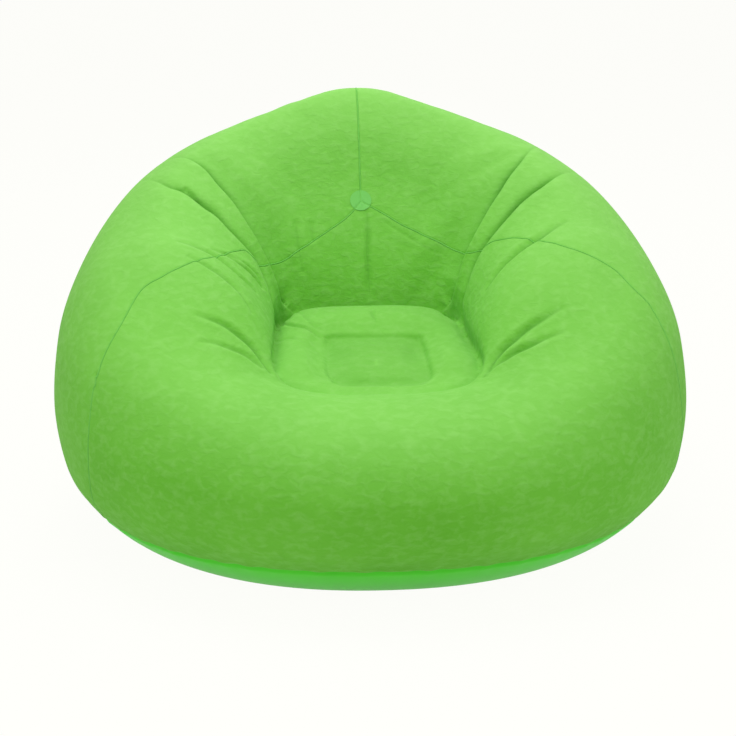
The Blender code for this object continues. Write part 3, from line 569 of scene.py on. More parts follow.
cloth = pumped.modifiers.new("air", "CLOTH")
cloth.settings.quality = 4
cloth.settings.mass = 0.3
cloth.settings.tension_stiffness = 15
cloth.settings.compression_stiffness = 15
cloth.settings.bending_stiffness = 0.5
cloth.settings.use_pressure = True
cloth.settings.uniform_pressure_force = AIR_PRESSURE
cloth.settings.effector_weights.gravity = 0
cloth.settings.vertex_group_mass = "held"
cloth.collision_settings.use_collision = False
for step in range(1, AIR_FRAMES + 1):
    bpy.context.scene.frame_set(step)
apply_all(pumped)
moved = read_points(pumped) - slack
moved -= even_between(moved, edge_ends(pumped), AIR_EVENING)
moved *= np.minimum(1, AIR_REACH / np.maximum(np.linalg.norm(moved, axis=1), 1e-6))[:, None]
swollen = AIR_SHARE * even_between(moved, edge_ends(pumped), 1)
tree = KDTree(len(places))
for number, place in enumerate(places):
    tree.insert(place, number)
tree.balance()
for number, place in enumerate(read_points(form)):
    near = tree.find_n(place, NEAREST_POINTS)
    weight = np.array([1 / (distance + 1e-5) for _, _, distance in near])
    air[number] = weight @ swollen[[index for _, index, _ in near]] / weight.sum()
select_only(pumped)
bpy.ops.object.delete()
bpy.context.scene.frame_set(1)
form.data.attributes.new("air", "FLOAT_VECTOR", "POINT").data.foreach_set("vector", air.ravel())

# The even mesh is split finer along every fold, wrinkle and seam, and once more close to it.
FINE_REACHES = (0.014, 0.005)
NORMAL_EVENING, PUSH_EVENING, SWELL_EVENING = 8, 2, 6
for reach in FINE_REACHES:
    places, turns = (read_rows(form.data.polygons, kind) for kind in ("center", "normal"))
    chosen = np.zeros(len(places), bool)
    for line in [*fold_lines.values(), *wrinkle_lines, weld_line, seat_crease]:
        chosen[near_line(places, turns, line, reach)[0]] = True
    behind, beside, above = seam_fields(places, turns)
    skin = places[:, 2] > BASE_SEAM_HEIGHT - reach
    chosen |= skin & (np.abs(behind) < reach)
    chosen |= skin & (behind > 0) & (np.abs(beside) < reach)
    chosen |= np.abs(above) < reach
    chosen |= valve_distance(places) < VALVE_HOLE_RADIUS + 4 * reach
    subdivide_faces(form, chosen)
round_points = read_points(form)
link_ends = edge_ends(form)
round_normals = even_between(read_normals(form), link_ends, NORMAL_EVENING)
round_normals /= np.linalg.norm(round_normals, axis=1, keepdims=True)

# Short puckers stand along the base seam and round the valve, where curved film is welded
# to flat. They are a millimetre or so deep, unevenly spaced, and run across the weld.
PUCKER_DEPTH = 0.0012
SEAM_PUCKER_SHARE = 0.6
PUCKER_RISE, PUCKER_FALL = 0.022, 0.010
VALVE_PUCKERS_START, VALVE_PUCKERS_END = (0.034, 0.050), (0.055, 0.085)


def puckers(points):
    turn = np.arctan2(points[:, 1], points[:, 0])
    wave = np.sin(57 * turn + 1.3 * np.sin(9 * turn)) + 0.6 * np.sin(91 * turn + 2.1 * np.sin(5 * turn))
    rise = points[:, 2] - BASE_SEAM_HEIGHT
    along_seam = wave * np.exp(-np.where(rise > 0, rise / PUCKER_RISE, -rise / PUCKER_FALL))
    offset = points - VALVE_CENTRE
    spin = np.arctan2(offset @ VALVE_UP, offset @ VALVE_ACROSS)
    gap = valve_distance(points)
    ring = ease(gap, *VALVE_PUCKERS_START) * (1 - ease(gap, *VALVE_PUCKERS_END))
    around = np.sin(17 * spin + np.sin(3 * spin)) * ring
    return PUCKER_DEPTH * (SEAM_PUCKER_SHARE * along_seam + around)


# Folds, wrinkles, weld and seam grooves are pressed in along the skin's own normals. The
# shade painted into the pile's colour there is kept with the mesh, for its finish.
GROOVE_SHADE, GROOVE_SHADE_WIDTH = 0.35, 0.8
SMOOTH_ROUND_VALVE = (VALVE_HOLE_RADIUS + 0.012, VALVE_HOLE_RADIUS + 0.030)
push, shade = press_folds(round_points, round_normals)
push = even_between(push[:, None], link_ends, PUSH_EVENING)[:, 0] + puckers(round_points)
behind, beside, above = seam_fields(round_points, round_normals)
skin = round_points[:, 2] > BASE_SEAM_HEIGHT
for distance, (depth, width), where in ((behind, SEAM_GROOVE, skin),
                                        (beside, SEAM_GROOVE, skin & (behind > 0)),
                                        (above, BASE_GROOVE, np.ones_like(skin))):
    push += np.where(where, depth * bell(distance / width), 0)
    groove_shade = GROOVE_SHADE * bell(distance / (GROOVE_SHADE_WIDTH * width))
    shade = np.maximum(shade, np.where(where, groove_shade, 0))
push *= ease(valve_distance(round_points), *SMOOTH_ROUND_VALVE)
swell = even_between(read_rows(form.data.attributes["air"].data, "vector"), link_ends, SWELL_EVENING)
skin_now = round_points - round_normals * push[:, None] + swell
form.data.attributes.new("painted_crease_shade", "FLOAT", "POINT").data.foreach_set("value", shade)

# The skin is cut where its panels meet, and at the valve hole. Points that lie almost on a
# cut move onto it first, so that no sliver is left beside it. The cuts behind the front seam
# end at it, and all cuts of the upper skin end at the seam of the base.
CUT_REACH = 0.03
SNAP_SHARE = 0.25
CUT_ENDS = {"above": (), "behind": ("above",), "beside": ("above", "behind"), "from_valve": ()}
fields = {"above": above, "behind": behind, "beside": beside,
          "from_valve": valve_distance(round_points) - VALVE_HOLE_RADIUS}
for name, value in fields.items():
    first, second = value[link_ends[:, 0]], value[link_ends[:, 1]]
    crossing = np.where((first * second < 0) & (np.abs(first) + np.abs(second) < CUT_REACH))[0]
    part = first[crossing] / (first[crossing] - second[crossing])
    for near_end, far_end, chosen in ((0, 1, part < SNAP_SHARE), (1, 0, part > 1 - SNAP_SHARE)):
        moved = link_ends[crossing[chosen], near_end]
        other = link_ends[crossing[chosen], far_end]
        share = np.where(part[chosen] < 0.5, part[chosen], 1 - part[chosen])[:, None]
        skin_now[moved] += (skin_now[other] - skin_now[moved]) * share
        value[moved] = 0
    form.data.attributes.new(name, "FLOAT", "POINT").data.foreach_set("value", value)
write_points(form, skin_now)
form_mesh = bmesh.new()
form_mesh.from_mesh(form.data)
for name, ends_at in CUT_ENDS.items():
    layer, *end_layers = (form_mesh.verts.layers.float[one] for one in (name, *ends_at))
    for edge in list(form_mesh.edges):
        a, b = edge.verts
        first, second = a[layer], b[layer]
        if first * second >= 0 or abs(first) + abs(second) >= CUT_REACH:
            continue
        if not any(a[end] < 0 and b[end] < 0 for end in end_layers):
            made = bmesh.utils.edge_split(edge, a, first / (first - second))[1]
            made[layer] = 0
    on_line = [v for v in form_mesh.verts if v[layer] == 0]
    bmesh.ops.connect_verts(form_mesh, verts=on_line, check_degenerate=False)
form_mesh.to_mesh(form.data)
form_mesh.free()


def read_values(piece, name):
    values = np.empty(len(piece.data.vertices))
    piece.data.attributes[name].data.foreach_get("value", values)
    return values


def face_means(piece, values):
    corners = np.empty(len(piece.data.loops), int)
    piece.data.loops.foreach_get("vertex_index", corners)
    starts = np.empty(len(piece.data.polygons), int)
    piece.data.polygons.foreach_get("loop_start", starts)
    counts = np.empty(len(piece.data.polygons), int)
    piece.data.polygons.foreach_get("loop_total", counts)
    return np.add.reduceat(values[corners], starts) / counts


def split_faces(piece, labels):
    """Split a mesh into a piece for each label of its faces. Label 0 is dropped."""
    piece.data.attributes.new("label", "INT", "FACE").data.foreach_set("value", labels)
    piece.data.materials.clear()
    markers = [bpy.data.materials.new(f"label_{number}") for number in range(labels.max() + 1)]
    for marker in markers:
        piece.data.materials.append(marker)
    piece.data.polygons.foreach_set("material_index", labels)
    select_only(piece)
    bpy.ops.object.mode_set(mode="EDIT")
    bpy.ops.mesh.separate(type="MATERIAL")
    bpy.ops.object.mode_set(mode="OBJECT")
    made = {part.data.attributes["label"].data[0].value: part for part in bpy.context.selected_objects}
    for part in made.values():
        part.data.attributes.remove(part.data.attributes["label"])
        part.data.materials.clear()
    for marker in markers:
        bpy.data.materials.remove(marker)
    if 0 in made:
        select_only(made.pop(0))
        bpy.ops.object.delete()
    return made


SMOOTH_ANGLE = math.radians(65)


def give_wall(piece, wall):
    """Film thickness, built inwards from the outer face."""
    solid = piece.modifiers.new("film_wall", "SOLIDIFY")
    solid.thickness = wall
    solid.offset = -1
    apply_all(piece)
    bpy.ops.object.shade_smooth_by_angle(angle=SMOOTH_ANGLE)


def walk_line(piece, on_line):
    """The points of a cut, in order from one end to the other."""
    places = read_points(piece)
    links_of = {}
    best = []
    seen = set()
    for edge in piece.data.edges:
        a, b = edge.vertices
        if on_line[a] and on_line[b]:
            links_of.setdefault(a, set()).add(b)
            links_of.setdefault(b, set()).add(a)
    for start in [v for v, near in links_of.items() if len(near) == 1] or [next(iter(links_of))]:
        if start in seen:
            continue
        path = [start]
        seen.add(start)
        while True:
            ahead = [v for v in links_of[path[-1]] if v not in seen]
            if not ahead:
                break
            path.append(min(ahead))
            seen.add(path[-1])
        if len(path) > len(best):
            best = path
    return places[best]


face_above, face_behind, face_beside, face_from_valve = (face_means(form, read_values(form, name))
                                                         for name in fields)
whole_tree = surface_tree(form)

# The three upper panels: velour-flocked film 1.2 mm thick, the front one over the seat and
# the arms, and two at the rear that meet in the middle of the back. The pile shines softly
# at a glancing angle, and strokes in it leave pale wisps.
SKIN_WALL = 0.0012
FLOCK_GREEN = (0.140, 0.480, 0.036)
# Pale tone of the pile's own wisps, and of the painted highlight.
FLOCK_WISP_AND_HIGHLIGHT = (0.300, 0.640, 0.165)
FLOCK_DEEP = (0.115, 0.430, 0.024)
# Dark green painted into the pile where shade falls in folds, wrinkles, seam grooves and the weld pan.
FLOCK_PAINTED_SHADE = (0.045, 0.230, 0.012)
PAINTED_SHADE_SHARE = 0.85
WISP_SIZES = (60, 4, (1, 1, 1.7))
WISP_RANGE, WISP_SHARE = (0.44, 0.76), 0.27
CLOUD_SIZES, CLOUD_RANGE = (7, 3), (0.35, 0.75)
FIBRE_SIZES, FIBRE_RELIEF = (900, 2), (0.25, 0.0006)
RIPPLE_RELIEF = (0.7, 0.0028)
# Painted highlight: faces turned up are paler, as the light from above falls on them.
UPWARD_HIGHLIGHT_RANGE, UPWARD_HIGHLIGHT_SHARE = (0.2, 0.95), 0.28
# Painted highlight: the pile is paler high on the back and arms, where the light from above and behind falls.
UPPER_HIGHLIGHT_HEIGHTS, UPPER_HIGHLIGHT_SHARE = (0.40, 0.68), 0.30


def start_material(name):
    made = bpy.data.materials.new(name)
    made.use_nodes = True
    nodes = made.node_tree.nodes
    return made, nodes, made.node_tree.links, nodes["Principled BSDF"]


def noise(nodes, links, coords, scale, detail, stretch=(1, 1, 1)):
    """Noise on the piece's own coordinates. Scale is in lumps a metre."""
    place = nodes.new("ShaderNodeMapping")
    place.inputs["Scale"].default_value = stretch
    links.new(coords.outputs["Object"], place.inputs["Vector"])
    made = nodes.new("ShaderNodeTexNoise")
    made.inputs["Scale"].default_value = scale
    made.inputs["Detail"].default_value = detail
    links.new(place.outputs["Vector"], made.inputs["Vector"])
    return made


def ramp(nodes, links, source, low, high):
    made = nodes.new("ShaderNodeMapRange")
    made.inputs["From Min"].default_value = low
    made.inputs["From Max"].default_value = high
    links.new(source, made.inputs["Value"])
    return made.outputs["Result"]


def times(nodes, links, source, factor):
    made = nodes.new("ShaderNodeMath")
    made.operation = "MULTIPLY"
    made.inputs[1].default_value = factor
    links.new(source, made.inputs[0])
    return made.outputs[0]


def mix(nodes, links, factor, first, second):
    made = nodes.new("ShaderNodeMix")
    made.data_type = "RGBA"
    links.new(factor, made.inputs["Factor"])
    for value, socket in ((first, made.inputs[6]), (second, made.inputs[7])):
        if isinstance(value, tuple):
            socket.default_value = (*value, 1)
        else:
            links.new(value, socket)
    return made.outputs[2]


def bump(nodes, links, target, source, strength, height):
    """Relief in the normal of a shader, or under another relief."""
    made = nodes.new("ShaderNodeBump")
    made.inputs["Strength"].default_value = strength
    made.inputs["Distance"].default_value = height
    links.new(source, made.inputs["Height"])
    links.new(made.outputs["Normal"], target.inputs["Normal"])
    return made


flock, nodes, links, shader = start_material("flocked_film_look")
coords = nodes.new("ShaderNodeTexCoord")
wisps = noise(nodes, links, coords, *WISP_SIZES)
wisps.inputs["Distortion"].default_value = 0.4
clouds = noise(nodes, links, coords, *CLOUD_SIZES)
fibres = noise(nodes, links, coords, *FIBRE_SIZES)
cloud_share = ramp(nodes, links, clouds.outputs["Fac"], *CLOUD_RANGE)
base_tone = mix(nodes, links, cloud_share, FLOCK_GREEN, FLOCK_DEEP)
turned = nodes.new("ShaderNodeSeparateXYZ")
links.new(nodes.new("ShaderNodeNewGeometry").outputs["Normal"], turned.inputs["Vector"])
high = nodes.new("ShaderNodeSeparateXYZ")
links.new(coords.outputs["Object"], high.inputs["Vector"])
tone = base_tone
# Painted highlight on faces turned up and high on the back and arms; the wisps are the pile's own pale
# strokes.
for source, limits, most in ((turned.outputs["Z"], UPWARD_HIGHLIGHT_RANGE, UPWARD_HIGHLIGHT_SHARE),
                             (high.outputs["Z"], UPPER_HIGHLIGHT_HEIGHTS, UPPER_HIGHLIGHT_SHARE),
                             (wisps.outputs["Fac"], WISP_RANGE, WISP_SHARE)):
    tone = mix(nodes, links, times(nodes, links, ramp(nodes, links, source, *limits), most), tone, FLOCK_WISP_AND_HIGHLIGHT)
# Painted shade: the pile is mixed towards dark green by the painted crease shade kept with the mesh.
painted_shade = nodes.new("ShaderNodeAttribute")
painted_shade.attribute_name = "painted_crease_shade"
links.new(mix(nodes, links, times(nodes, links, painted_shade.outputs["Fac"], PAINTED_SHADE_SHARE), tone, FLOCK_PAINTED_SHADE),
          shader.inputs["Base Color"])
shader.inputs["Roughness"].default_value = 0.9
shader.inputs["Specular IOR Level"].default_value = 0.15
shader.inputs["Sheen Weight"].default_value = 0.12
shader.inputs["Sheen Roughness"].default_value = 0.6
shader.inputs["Sheen Tint"].default_value = (0.70, 1.0, 0.50, 1)
pile = bump(nodes, links, shader, fibres.outputs["Fac"], *FIBRE_RELIEF)
bump(nodes, links, pile, wisps.outputs["Fac"], *RIPPLE_RELIEF)

TAPE_HALF_WIDTH = 0.008
ON_CUT = 1e-6
upper = face_above > 0
upper_labels = np.where(face_behind < 0, 1, np.where(face_beside < 0, 2, 3))
panel_labels = np.where(upper, upper_labels, 4) * (face_from_valve > 0)
near_seam = upper & (np.abs(face_behind) < TAPE_HALF_WIDTH)
near_middle = upper & (np.abs(face_beside) < TAPE_HALF_WIDTH) & (face_behind > TAPE_HALF_WIDTH)
tape_labels = np.where(near_middle, 3, np.where(near_seam, np.where(face_beside < 0, 1, 2), 0))
select_only(form)
bpy.ops.object.duplicate()
tape_parts = split_faces(bpy.context.object, tape_labels)
form_above, form_behind, form_beside = (read_values(form, name) for name in ("above", "behind", "beside"))
front_line = walk_line(form, (form_behind == 0) & (form_above >= -ON_CUT))
back_line = walk_line(form, (form_beside == 0) & (form_behind >= -ON_CUT) & (form_above >= -ON_CUT))
panels = split_faces(form, panel_labels)
for name, label, node in (("front_skin", 1, "front_panel"), ("rear_left_skin", 2, "rear_left_panel"),
                          ("rear_right_skin", 3, "rear_right_panel")):
    skin_piece = panels[label]
    skin_piece.name = name
    give_wall(skin_piece, SKIN_WALL)
    skin_piece.data.materials.clear()
    skin_piece.data.materials.append(flock)
    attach(skin_piece, "chair")
    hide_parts(node)

# The base: smooth unflocked vinyl of a clearer green than the top. It is a shallow dish that
# shows as a band under its seam, and is flat where it lies on the floor.
BASE_WALL = 0.0008
BASE_TRIANGLES = 90000


def smooth_look(name, first, second, patches, grain, relief, roughness, gloss=None, depth=None, limits=None):
    """Film or moulding without pile: two close colours in cloudy patches, and a fine grain.

    Patches and grain give the noise's scale and detail, relief its strength and height, and
    depth how much light goes in and how far.
    """
    made, nodes, links, shader = start_material(name)
    coords = nodes.new("ShaderNodeTexCoord")
    share = noise(nodes, links, coords, *patches).outputs["Fac"]
    height = noise(nodes, links, coords, *grain).outputs["Fac"]
    if limits:
        share = ramp(nodes, links, share, *limits)
    links.new(mix(nodes, links, share, first, second), shader.inputs["Base Color"])
    shader.inputs["Roughness"].default_value = roughness
    if gloss is not None:
        shader.inputs["Specular IOR Level"].default_value = gloss
    if depth is not None:
        shader.inputs["Subsurface Weight"].default_value = depth[0]
        shader.inputs["Subsurface Radius"].default_value = (depth[1],) * 3
    bump(nodes, links, shader, height, *relief)
    return made


vinyl = smooth_look("smooth_vinyl_look", (0.095, 0.700, 0.030), (0.080, 0.630, 0.022), (9, 4), (420, 3),
                    (0.2, 0.0004), 0.48, gloss=0.2, limits=(0.3, 0.8))
base_piece = panels[4]
base_piece.name = "base_dish"
base_points = read_points(base_piece)
base_points[:, 2] = np.maximum(base_points[:, 2], 0)
write_points(base_piece, base_points)
base_piece.data.calc_loop_triangles()
thinned = base_piece.modifiers.new("fewer_faces", "DECIMATE")
thinned.ratio = min(1, BASE_TRIANGLES / len(base_piece.data.loop_triangles))
apply_all(base_piece)
give_wall(base_piece, BASE_WALL)
base_piece.data.materials.clear()
base_piece.data.materials.append(vinyl)
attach(base_piece, "chair")
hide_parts("base_panel")

# Seams: a welded line between two panels, with a round bead outside and a tape of thin film
# along the inside. The three tapes end at the patch at the top of the well.
BEAD_RADIUS = 0.0012
BEAD_LIFT = 0.0004
TAPE_WALL = 0.0006
TAPE_GAP = 0.0003
LINE_EVENING, TURN_EVENING = 6, 12
WELL_TOP = 0.3
tape_film = smooth_look("tape_film_look", (0.18, 0.48, 0.12), (0.14, 0.42, 0.09), (40, 3), (700, 2),
                        (0.2, 0.0002), 0.35)
bead_vinyl = smooth_look("seam_bead_look", (0.120, 0.440, 0.055), (0.195, 0.560, 0.100), (130, 3), (130, 3),
                         (0.2, 0.0003), 0.7, gloss=0.2)


def even_out(points, rounds):
    for _ in range(rounds):
        points[1:-1] = (points[:-2] + 2 * points[1:-1] + points[2:]) / 4
    return points


def bead_along(points, radius, name):
    curve = bpy.data.curves.new(name, "CURVE")
    curve.dimensions = "3D"
    curve.bevel_depth = radius
    curve.bevel_resolution = 1
    curve.use_fill_caps = True
    spline = curve.splines.new("POLY")
    spline.points.add(len(points) - 1)
    spline.points.foreach_set("co", np.column_stack([points, np.ones(len(points))]).ravel())
    bead = bpy.data.objects.new(name, curve)
    bpy.context.collection.objects.link(bead)
    select_only(bead)
    bpy.ops.object.convert(target="MESH")
    bpy.ops.object.shade_smooth()
    bead.data.materials.append(bead_vinyl)
    return bead


if front_line[0][0] > front_line[-1][0]:
    front_line = front_line[::-1]
middle = int(np.argmin(np.abs(front_line[:, 0]) + (front_line[:, 2] < WELL_TOP)))
for name, points, label in (("left_seam", front_line[:middle + 1], 1), ("right_seam", front_line[middle:], 2),
                            ("centre_seam", back_line, 3)):
    tape = tape_parts[label]
    tape.name = name + "_weld"
    tape_points = read_points(tape) - read_normals(tape) * (SKIN_WALL + TAPE_GAP)
    write_points(tape, tape_points)
    give_wall(tape, TAPE_WALL)
    tape.data.materials.clear()
    tape.data.materials.append(tape_film)
    outward = np.array([whole_tree.find_nearest(Vector(point))[1] for point in points])
    lifted = points + even_out(outward, TURN_EVENING) * BEAD_LIFT
    bead = bead_along(even_out(lifted, LINE_EVENING), BEAD_RADIUS, name + "_bead")
    select_only(tape)
    bead.select_set(True)
    bpy.ops.object.join()
    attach(tape, "chair")
    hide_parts(name + "_tape")

# The patch that closes the point where the three seams meet: a disc of smooth vinyl, a
# little bluer than the flock, laid over the outside.
PATCH_RADIUS = 0.019
PATCH_WALL = 0.0008
PATCH_LIFT = 0.0012
PATCH_START = 0.03
patch_film = smooth_look("patch_film_look", (0.150, 0.50, 0.090), (0.170, 0.54, 0.110), (60, 3), (60, 3),
                         (0.1, 0.0003), 0.6, gloss=0.2)
patch_low, patch_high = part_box("pole_patch")
patch_centre = (Vector(patch_low) + Vector(patch_high)) / 2
patch_normal = Vector((0, patch_low[2] - patch_high[2], patch_high[1] - patch_low[1])).normalized()
bpy.ops.mesh.primitive_circle_add(vertices=48, radius=PATCH_RADIUS, fill_type="TRIFAN", location=(0, 0, 0))
patch = bpy.context.object
patch.name = "pole_disc"
select_only(patch)
bpy.ops.object.mode_set(mode="EDIT")
bpy.ops.mesh.select_all(action="SELECT")
bpy.ops.mesh.subdivide(number_cuts=6)
bpy.ops.object.mode_set(mode="OBJECT")
turn = patch_normal.to_track_quat("Z", "X").to_matrix()
places = read_points(patch) @ np.array(turn).T + np.array(patch_centre)
for number, place in enumerate(places):
    start = Vector(place) + patch_normal * PATCH_START
    found = whole_tree.ray_cast(start, -patch_normal)[0]
    if found:
        places[number] = np.array(found + patch_normal * PATCH_LIFT)
write_points(patch, places)
if read_normals(patch).mean(0) @ np.array(patch_normal) < 0:
    select_only(patch)
    bpy.ops.object.mode_set(mode="EDIT")
    bpy.ops.mesh.flip_normals()
    bpy.ops.object.mode_set(mode="OBJECT")
give_wall(patch, PATCH_WALL)
patch.data.materials.append(patch_film)
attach(patch, "chair")
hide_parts("pole_patch")

# Webs: four thin sheets inside that hold the seat down to the base. Each reaches from the
# base up to the welded line on the underside of the seat.
WEB_WALL = 0.0006
WEB_GAP = 0.0006
WEB_STEPS = 60
WEB_MIDDLE_HEIGHT = 0.15
web_film = smooth_look("web_film_look", (0.80, 0.82, 0.78), (0.72, 0.75, 0.70), (30, 3), (30, 3),
                       (0.1, 0.0003), 0.4)
for name in ("seat_web_front", "seat_web_rear", "seat_web_left", "seat_web_right"):
    low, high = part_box(name)
    along = 0 if high[0] - low[0] > high[1] - low[1] else 1
    across = 1 - along
    bpy.ops.mesh.primitive_grid_add(x_subdivisions=WEB_STEPS, y_subdivisions=WEB_STEPS, size=2)
    web = bpy.context.object
    web.name = name.replace("seat_web", "tie_sheet")
    select_only(web)
    shares = (read_points(web)[:, :2] + 1) / 2
    middle = (low[across] + high[across]) / 2
    places = np.zeros((len(shares), 3))
    places[:, along] = low[along] + (high[along] - low[along]) * shares[:, 0]
    places[:, across] = middle
    tops = {}
    for value in np.unique(places[:, along]):
        start = Vector((0, 0, WEB_MIDDLE_HEIGHT))
        start[along], start[across] = value, middle
        tops[value] = whole_tree.ray_cast(start, Vector((0, 0, 1)))[0].z - SKIN_WALL - WEB_GAP
    roof = np.array([tops[value] for value in places[:, along]])
    places[:, 2] = low[2] + WEB_GAP + (roof - low[2] - WEB_GAP) * shares[:, 1]
    write_points(web, places)
    give_wall(web, WEB_WALL)
    web.data.materials.append(web_film)
    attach(web, "chair")
    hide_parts(name)

# The valve on the back: a moulded vinyl collar welded to the panel, with a ring of thin film
# behind it. The insert with its knurled rim plugs into the collar on a rubber ring.
plastic = smooth_look("valve_plastic_look", (0.70, 0.74, 0.68), (0.62, 0.66, 0.60), (55, 3), (1400, 2),
                      (0.15, 0.0002), 0.38, depth=(0.1, 0.002))
rubber = smooth_look("valve_rubber_look", (0.05, 0.05, 0.05), (0.08, 0.08, 0.08), (300, 3), (300, 3),
                     (0.2, 0.0002), 0.7)


def valve_places(across, up, out):
    """Points in the shared frame, from distances along the valve's own directions."""
    return (VALVE_CENTRE + np.multiply.outer(across, VALVE_ACROSS) + np.multiply.outer(up, VALVE_UP)
            + np.multiply.outer(out, VALVE_OUT))


MERGE_REACH = 1e-6


def spun_piece(name, outline, steps, finish):
    """Round moulding, spun about the valve's axis from its outline of radius and height."""
    bpy.ops.mesh.primitive_circle_add(vertices=len(outline), radius=1, location=(0, 0, 0))
    made = bpy.context.object
    made.name = name
    radius, height = np.array(outline).T
    write_points(made, valve_places(radius, 0 * radius, height))
    select_only(made)
    bpy.ops.object.mode_set(mode="EDIT")
    bpy.ops.mesh.select_all(action="SELECT")
    bpy.ops.mesh.spin(steps=steps, angle=2 * math.pi, center=tuple(VALVE_CENTRE), axis=tuple(VALVE_OUT))
    bpy.ops.mesh.select_all(action="SELECT")
    bpy.ops.mesh.remove_doubles(threshold=MERGE_REACH)
    bpy.ops.mesh.delete_loose()
    bpy.ops.mesh.select_all(action="SELECT")
    bpy.ops.mesh.normals_make_consistent(inside=False)
    bpy.ops.object.mode_set(mode="OBJECT")
    made.data.materials.append(finish)
    return made


def finish_piece(piece, body, node, crisp=35):
    select_only(piece)
    bpy.ops.object.shade_smooth_by_angle(angle=math.radians(crisp))
    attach(piece, body)
    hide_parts(node)


COLLAR_OUTLINE = ((0.0180, 0.0029), (0.0184, 0.0033), (0.0268, 0.0033), (0.0274, 0.0031), (0.0292, 0.0019),
                  (0.0297, 0.0016), (0.0301, 0.0013), (0.0305, 0.0013), (0.0308, 0.0015), (0.0317, 0.0015),
                  (0.0320, 0.0012), (0.0320, 0.0003), (0.0230, 0.0003), (0.0230, -0.0160), (0.0180, -0.0160))
collar = spun_piece("valve_collar", COLLAR_OUTLINE, 96, plastic)
finish_piece(collar, "chair", "valve_flange")

RING_OUTLINE = ((0.0190, 0.0040), (0.0194, 0.0036), (0.0216, 0.0036), (0.0220, 0.0040), (0.0220, 0.0047),
                (0.0216, 0.0051), (0.0194, 0.0051), (0.0190, 0.0047))
seal = spun_piece("seal_ring", RING_OUTLINE, 96, rubber)
finish_piece(seal, "insert", "valve_gasket", 60)

INSERT_OUTLINE = ((0.0090, 0.0073), (0.0093, 0.0076), (0.0140, 0.0076), (0.0198, 0.0076), (0.0201, 0.0073),
                  (0.0207, 0.0073), (0.0210, 0.0076), (0.0231, 0.0076), (0.0235, 0.0072), (0.0235, 0.0057),
                  (0.0232, 0.0054), (0.0177, 0.0054), (0.0177, -0.0090), (0.0171, -0.0096), (0.0065, -0.0096),
                  (0.0065, -0.0066), (0.0090, -0.0066))
KNURL_COUNT = 36
KNURL_DEPTH = 0.0006
KNURL_FROM_RADIUS = 0.0230
plug = spun_piece("insert_plug", INSERT_OUTLINE, 4 * KNURL_COUNT, plastic)
places = read_points(plug)
offset = places - VALVE_CENTRE
around = np.arctan2(offset @ VALVE_UP, offset @ VALVE_ACROSS)
rim = np.hypot(offset @ VALVE_UP, offset @ VALVE_ACROSS)
notch = np.where(rim > KNURL_FROM_RADIUS, KNURL_DEPTH * (0.5 + 0.5 * np.cos(KNURL_COUNT * around)), 0)
from_axis = offset - np.outer(offset @ VALVE_OUT, VALVE_OUT)
write_points(plug, places - from_axis / rim[:, None] * notch[:, None])
finish_piece(plug, "insert", "valve_insert")

for name, finish in (("valve_doubler", tape_film), ("check_flap", web_film), ("flap_retainer", plastic)):
    node_piece = bpy.data.objects[name]
    for number in range(len(node_piece.material_slots)):
        node_piece.material_slots[number].material = finish

# The cap: soft clear vinyl, dished on top, with a hollow stopper below and a ribbed finger
# tab. Its strap is moulded with it, and bends between the insert's rim and the cap.
cap_vinyl = smooth_look("cap_vinyl_look", (0.76, 0.80, 0.75), (0.66, 0.71, 0.66), (90, 3), (1100, 2),
                        (0.12, 0.0002), 0.28, depth=(0.2, 0.003))
CAP_OUTLINE = ((0, 0.0095), (0.0080, 0.0095), (0.0090, 0.0099), (0.0119, 0.0099), (0.0124, 0.0096),
               (0.0125, 0.0092), (0.0125, 0.0082), (0.0122, 0.0079), (0.0087, 0.0079), (0.0087, 0.0005),
               (0.0084, -0.0001), (0.0076, -0.0001), (0.0073, 0.0003), (0.0073, 0.0079), (0, 0.0079))
cap = spun_piece("stopper_cap", CAP_OUTLINE, 96, cap_vinyl)


def strip_piece(name, steps, finish):
    """Flat grid from 0 to 1 along and from -1 to 1 across, with its two shares."""
    bpy.ops.mesh.primitive_grid_add(x_subdivisions=steps, y_subdivisions=8, size=2)
    made = bpy.context.object
    made.name = name
    made.data.materials.append(finish)
    shares = read_points(made)
    return made, (shares[:, 0] + 1) / 2, shares[:, 1]


TAB_START, TAB_END, TAB_HALF_WIDTH = 0.0108, 0.0194, 0.0040
TAB_HEIGHT, TAB_THICKNESS = 0.0091, 0.0008
RIB_PITCH, RIB_HEIGHT, RIBS_FROM = 0.0014, 0.0002, 0.0135
tab, along, across = strip_piece("finger_tab", 32, cap_vinyl)
reach = TAB_START + (TAB_END - TAB_START) * along
rounding = np.clip((reach - TAB_END + TAB_HALF_WIDTH) / TAB_HALF_WIDTH, 0, 1)
half = TAB_HALF_WIDTH * np.sqrt(1 - 0.98 * rounding ** 2)
ribs = RIB_HEIGHT * np.cos(2 * math.pi * (reach - TAB_END) / RIB_PITCH) * (reach > RIBS_FROM)
write_points(tab, valve_places(-half * across, reach, TAB_HEIGHT + ribs))
give_wall(tab, TAB_THICKNESS)
select_only(cap)
tab.select_set(True)
bpy.ops.object.join()
finish_piece(cap, "cap", "valve_cap")

